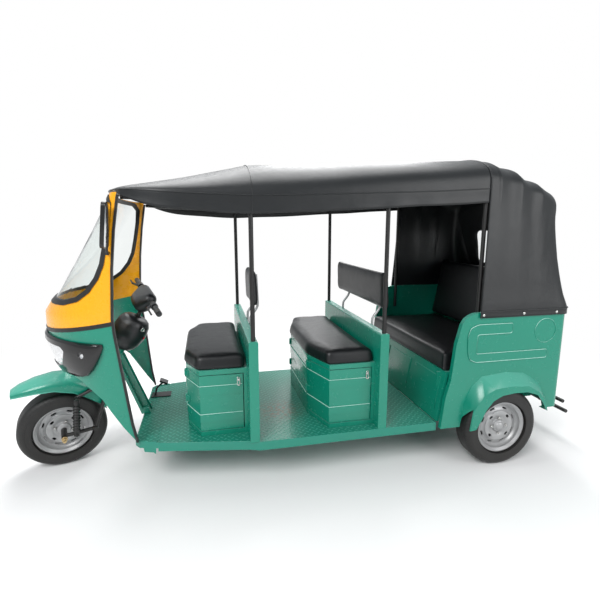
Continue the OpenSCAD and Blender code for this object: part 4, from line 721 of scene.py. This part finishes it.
def roof_point(x, share):
    """share runs from 0 at the right valance's edge over the roof to 1 at the left one's."""
    half, drop, hem, seam, crown, square = eased(roof_sections, x)
    column = share * roof_columns
    gap = next(((a, b) for a, b in zip(roof_bows, roof_bows[1:]) if a >= x >= b), (x, x))
    slack = math.sin(math.pi * (x - gap[1]) / (gap[0] - gap[1])) ** 2 if gap[0] > gap[1] else 0.0
    near_bow = math.exp(-((x - seam_station) / 0.012) ** 2)
    if valance_rows <= column <= valance_rows + arch_rows:
        p, q = arch_point(math.pi * (1 - (column - valance_rows) / arch_rows), square)
        fold = noise.noise(Vector((x * 5, p * 3, 0.3))) * 0.0025 * q
        z = seam + (crown - seam) * q - 0.005 * slack * q + fold + 0.0015 * near_bow
        return at(x - drop * p * p, p * half, z)
    side = -1 if share < 0.5 else 1
    down = (valance_rows - column if side < 0 else column - valance_rows - arch_rows) / valance_rows
    wave = noise.noise(Vector((x * 9, side, 1.7))) * 0.004 * down
    edge = hem + noise.noise(Vector((x * 4, side * 3, 5.1))) * 0.003
    y = side * (half + 0.001 + wave - 0.002 * math.sin(math.pi * down))
    return at(x - drop, y, seam + (edge - seam) * down)


roof_grid = [[roof_point(header - roof_length * j / roof_stations, i / roof_columns)
              for i in range(roof_columns + 1)] for j in range(roof_stations + 1)]
canopy_vinyl = seat_vinyl("canopy_vinyl", (0.005, 0.0062, 0.0072), (0.008, 0.0098, 0.0112), 0.08, 0.45)
roof_cloth = vinyl_sheet("canopy_roof_sheet", roof_grid, 0.004)
fitted(roof_cloth, canopy_vinyl, "chassis")
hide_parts("roof_canopy")
roof_trim = [welt("canopy_side_piping_" + side, [row[column] for row in roof_grid], 0.0032, canopy_vinyl,
                  "chassis")
             for side, column in (("right", valance_rows), ("left", valance_rows + arch_rows))]
bow_seam = [roof_point(seam_station, i / 60) + Vector((0, 0, 0.001)) for i in range(61)]
roof_trim.append(welt("canopy_bow_seam", bow_seam, 0.0022, canopy_vinyl, "chassis"))

# Rear hood: the same vinyl, fanned out from the roof's last bow down to the rear body, where snaps hold its
# hem. It hangs in shallow scallops between its bows and pulls into folds at the shoulders.
body_half, rear_wall, corner, hem_out, bow = 0.622, -0.462, 0.045, 0.0105, 0.155


def hem_side(x):
    return x, body_half + hem_out


def hem_corner(degrees):
    angle = math.radians(degrees)
    return (rear_wall + corner - (corner + hem_out) * math.sin(angle),
            body_half - corner + (corner + hem_out) * math.cos(angle))


def hem_rear(y):
    return rear_wall - hem_out, y


# Hood ribs front to rear: the hem's place in plan, the shoulder's station, half width and height, the top's
# station and height, and how square the arch is
hood_ribs = (
    (hem_side(bow + 0.028), (bow, 0.600, 1.738), (bow, 1.943), 3.15),
    (hem_side(bow - 0.055), (bow - 0.065, 0.602, 1.736), (bow - 0.062, 1.938), 3.1),
    (hem_side(bow - 0.155), (bow - 0.150, 0.597, 1.724), (bow - 0.150, 1.917), 3.0),
    (hem_side(bow - 0.235), (bow - 0.215, 0.601, 1.712), (bow - 0.214, 1.902), 3.0),
    (hem_side(bow - 0.330), (bow - 0.300, 0.591, 1.690), (bow - 0.300, 1.858), 2.9),
    (hem_side(bow - 0.420), (bow - 0.376, 0.589, 1.672), (bow - 0.384, 1.838), 2.8),
    (hem_side(bow - 0.510), (bow - 0.448, 0.574, 1.640), (bow - 0.470, 1.803), 2.8),
    (hem_corner(0), (bow - 0.510, 0.554, 1.600), (bow - 0.542, 1.776), 2.7),
    (hem_corner(30), (bow - 0.532, 0.528, 1.540), (bow - 0.541, 1.680), 2.6),
    (hem_corner(60), (bow - 0.548, 0.490, 1.450), (bow - 0.551, 1.560), 2.6),
    (hem_corner(90), (bow - 0.574, 0.440, 1.300), (bow - 0.574, 1.380), 2.6),
    (hem_rear(0.530), (bow - 0.602, 0.380, 1.140), (bow - 0.602, 1.180), 2.6),
    (hem_rear(0.510), (rear_wall - hem_out, 0.330, 1.008), (rear_wall - hem_out, 1.010), 2.6),
    (hem_rear(0.490), (rear_wall - hem_out, 0.310, 0.968), (rear_wall - hem_out, 0.968), 2.6))
hem_level, strip_level, leg_rows, over_rows = 0.968, 1.006, 14, 34


def hood_rib(rib):
    """The points of one rib from the right hem over the top to the left hem."""
    (hem_x, hem_y), (side_x, side_y, side_z), (top_x, top_z), square = rib
    strip = min(strip_level, side_z)
    leg = []
    for k in range(leg_rows):
        s = max(k - 1, 0) / (leg_rows - 1)
        lean = (1 - s) ** 1.5
        leg.append((side_x + (hem_x - side_x) * lean, side_y + (hem_y - side_y) * lean,
                    hem_level if k == 0 else strip + (side_z - strip) * s))
    over = []
    for k in range(over_rows + 1):
        p, q = arch_point(math.pi * (1 - k / over_rows), square)
        over.append((side_x + (top_x - side_x) * q, side_y * p, side_z + (top_z - side_z) * q))
    right_leg = [Vector((x, -y, z)) for x, y, z in leg]
    return right_leg + [Vector(v) for v in over] + [Vector(v) for v in reversed(leg)]


ribs = [hood_rib(rib) for rib in hood_ribs]
steps_between = 9
hood_grid = []
for j in range((len(ribs) - 1) * steps_between + 1):
    k = min(j // steps_between, len(ribs) - 2)
    before, after = ribs[max(k - 1, 0)], ribs[min(k + 2, len(ribs) - 1)]
    hood_grid.append([curve(j / steps_between - k, a, b, (b - last) / 2, (following - a) / 2)
                      for last, a, b, following in zip(before, ribs[k], ribs[k + 1], after)])
for j, row in enumerate(hood_grid):
    for i, spot in enumerate(row):
        if 3 <= i <= len(row) - 4 and 0 < j < len(hood_grid) - 20:
            along = hood_grid[min(j + 1, len(hood_grid) - 1)][i] - hood_grid[j - 1][i]
            across = row[i + 1] - row[i - 1]
            outward = across.cross(along).normalized()
            corner_share = math.exp(-((spot.x + 0.36) / 0.2) ** 2 - ((spot.z - 1.56) / 0.3) ** 2)
            fan = math.atan2(spot.z - 1.15, spot.x + 0.2) * 5.0
            pleat = noise.noise(Vector((fan, spot.y * 1.5, 0.0))) * 0.008 * corner_share
            broad = noise.noise(Vector((spot.x * 2.2, spot.y * 1.6, spot.z * 1.8))) * 0.003
            rib_number = j / steps_between
            off_bow = abs(rib_number % 2 - 1)
            scallop = (0.007 * (1 - off_bow) ** 2 - 0.003) if 1 <= rib_number <= 9 else 0.0
            high = min(max((spot.z - 1.58) / 0.2, 0.0), 1.0)
            row[i] = spot + outward * (pleat + broad - 0.003 + scallop * high)
hood_grid = [[at(*spot) for spot in row] for row in hood_grid]
hood_cloth = vinyl_sheet("rear_hood_sheet", hood_grid, 0.004)


def hood_back(y, z, out):
    """The point of the hood's rear at this place across and up, moved out from it."""
    spot = hood_cloth.ray_cast(Vector((-3.0, y, z)), Vector((1, 0, 0)))[1]
    return spot + Vector((-out, 0, 0))


window_half, window_low, window_high = 0.29, 1.224, 1.49
window_outline = rounded([(-window_half, window_low), (window_half, window_low), (window_half, window_high),
                          (-window_half, window_high)], 0.05, steps=8)
window_line = []
for (y0, z0), (y1, z1) in zip(window_outline, window_outline[1:] + window_outline[:1]):
    runs = max(1, round(math.hypot(y1 - y0, z1 - z0) / 0.03))
    for k in range(runs):
        window_line.append((y0 + (y1 - y0) * k / runs, z0 + (z1 - z0) * k / runs))
binding_line = [hood_back(y, z, 0.001) for y, z in window_line]
film_grid = [[hood_back(-0.3 + 0.6 * i / 16, 1.214 + 0.286 * j / 10, -0.0015) for i in range(17)]
             for j in range(11)]
opening = cut_block("window_opening", window_outline, -0.2, 0.2, lambda y, z, w: Vector((-1.58 + w, y, z)))
applied(hood_cloth, "BOOLEAN", operation="DIFFERENCE", object=opening, solver="EXACT")
bpy.data.objects.remove(opening)
fitted(hood_cloth, canopy_vinyl, "chassis")
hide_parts("rear_hood")
window_film = clear_glass("window_film", (0.9, 0.92, 0.92), 0.06)
film = vinyl_sheet("hood_window_film", film_grid, 0.0008)
fitted(film, window_film, "chassis")
lift = Vector((0, 0, 0.002))
strip_line = [row[1] + lift for row in hood_grid] + [row[-2] + lift for row in reversed(hood_grid)]
hood_trim = [film] + [
    welt(name, line, radius, canopy_vinyl, "chassis", closed=closed)
    for name, line, radius, closed in (
        ("hood_window_binding", binding_line, 0.0045, True),
        ("hood_front_piping", hood_grid[0], 0.0045, False),
        ("hood_strip_piping", strip_line, 0.0042, False))]
snap_profile = ((0.0095, 0), (0.0095, 0.0015), (0.0075, 0.004), (0.004, 0.0055), (0.001, 0.006))
side_snaps, rear_snaps = (0.165, -0.12, -0.36), (-0.4, -0.13, 0.13, 0.4)
snap_y, snap_x, snap_z = body_half + hem_out + 0.0002, rear_wall - hem_out - 0.0002, 0.987
for name, facing, spots in (
        ("hood_snaps_left", (0, 1, 0), [at(x, snap_y, snap_z) for x in side_snaps]),
        ("hood_snaps_right", (0, -1, 0), [at(x, -snap_y, snap_z) for x in side_snaps]),
        ("hood_snaps_rear", (-1, 0, 0), [at(snap_x, y, snap_z) for y in rear_snaps])):
    for k, spot in enumerate(spots):
        hood_trim.append(turned("%s_%d" % (name, k), snap_profile, spot, facing, bright_zinc, "chassis",
                                sides=16))

# Mirror glasses: silvered glass with rounded corners, glued into the rear faces of the two mirror shells and
# leaning with them.
mirror_silver = coated("mirror_silver", (0.84, 0.86, 0.87), (0.8, 0.82, 0.83), 0.06, metallic=1.0,
                       relief=0.0)
for name, side in (("left", 1), ("right", -1)):
    outline = rounded([(-0.052, -0.105), (0.052, -0.105), (0.052, 0.105), (-0.052, 0.105)], 0.022)
    lean = Matrix.Rotation(math.radians(-6), 3, "Y")
    middle = at(2.266, side * 0.58, 1.525)
    glass = cut_block("mirror_glass_" + name, outline, 0.0003, 0.0013,
                      lambda v, z, w: middle + lean @ Vector((w, v, z)))
    fitted(glass, mirror_silver, "chassis", smooth=False)

# Box latches: a zinc plated catch plate with a bent wire lever over it, riveted to each door near the bench
# wall. They open with the door.
catch_outline = rounded([(-0.009, -0.019), (0.009, -0.019), (0.009, 0.019), (-0.009, 0.019)], 0.003)
lever_line = ((-0.006, 0.0075, 0.03), (-0.006, 0.009, 0.006), (-0.005, 0.013, -0.018), (0.005, 0.013, -0.018),
              (0.006, 0.009, 0.006), (0.006, 0.0075, 0.03))
latch_back, latch_height = 0.051, 0.62
for kind, (wall, depth, half) in benches.items():
    for hand, side in (("l", 1), ("r", -1)):
        body = kind + "_door_" + hand
        plate = cut_block(body + "_latch_plate", catch_outline, 0.0042, 0.0056,
                          lambda u, z, w: at(wall + latch_back + u, side * (half + w), latch_height + z))
        fitted(plate, bright_zinc, body, smooth=False)
        welt(body + "_latch_lever", [at(wall + latch_back + u, side * (half + w), latch_height + z)
                                     for u, w, z in lever_line], 0.0022, bright_zinc, body,
             closed=True)

# Pressed beads: rolled edges along the bands of the boxes' sheet, round the long recess in each side of the
# rear tub and round its filler ring. They are pressed out of the sheet itself. Their tops carry a painted
# highlight.
bead_green_with_painted_highlight = green_body.copy()
bead_green_with_painted_highlight.name = "green_enamel_with_painted_bead_highlight"
bead_nodes = bead_green_with_painted_highlight.node_tree.nodes
# Painted highlight: the beads' upward faces are mixed far towards a near-white green.
bead_nodes["painted_sky_highlight"].inputs["B"].default_value = (0.62, 0.95, 0.86, 1)
for socket, value in (("From Min", 0.0), ("From Max", 0.6), ("To Max", 0.9)):
    bead_nodes["lit"].inputs[socket].default_value = value
proud = 0.0032
for kind, (wall, depth, half) in benches.items():
    front = wall + depth
    for level, height in (("lower", 0.434), ("upper", 0.606)):
        welt(kind + "_box_bead_" + level, [at(front + proud, y, height) for y in (-0.262, 0.262)], 0.0024,
             bead_green_with_painted_highlight, "chassis")
        for hand, side in (("l", 1), ("r", -1)):
            bead_line = ((wall + 0.03, half + proud), (front - 0.081, half + proud),
                         (front - 0.0765, half + 0.001), (front + 0.0005, 0.2765))
            welt(kind + "_door_bead_" + level + "_" + hand, [at(x, side * y, height) for x, y in bead_line],
                 0.0024, bead_green_with_painted_highlight, kind + "_door_" + hand)
recess = rounded([(-0.052, 0.926), (0.19, 0.926), (0.238, 0.908), (0.256, 0.862), (0.252, 0.762),
                  (0.236, 0.706), (0.19, 0.686), (-0.323, 0.686), (-0.323, 0.741), (0.196, 0.741),
                  (0.19, 0.863), (-0.052, 0.863)], 0.014, 3)
ring_x, ring_z, ring_radius = -0.3, 0.865, 0.078
ring = [(ring_x + ring_radius * math.cos(k * math.pi / 24), ring_z + ring_radius * math.sin(k * math.pi / 24))
        for k in range(48)]
for hand, side in (("left", 1), ("right", -1)):
    welt("tub_bead_" + hand, [at(x, side * 0.6258, z) for x, z in recess], 0.0026, bead_green_with_painted_highlight, "chassis",
         closed=True)
    welt("filler_ring_bead_" + hand, [at(x, side * 0.6225, z) for x, z in ring], 0.002, bead_green_with_painted_highlight,
         "chassis", closed=True)
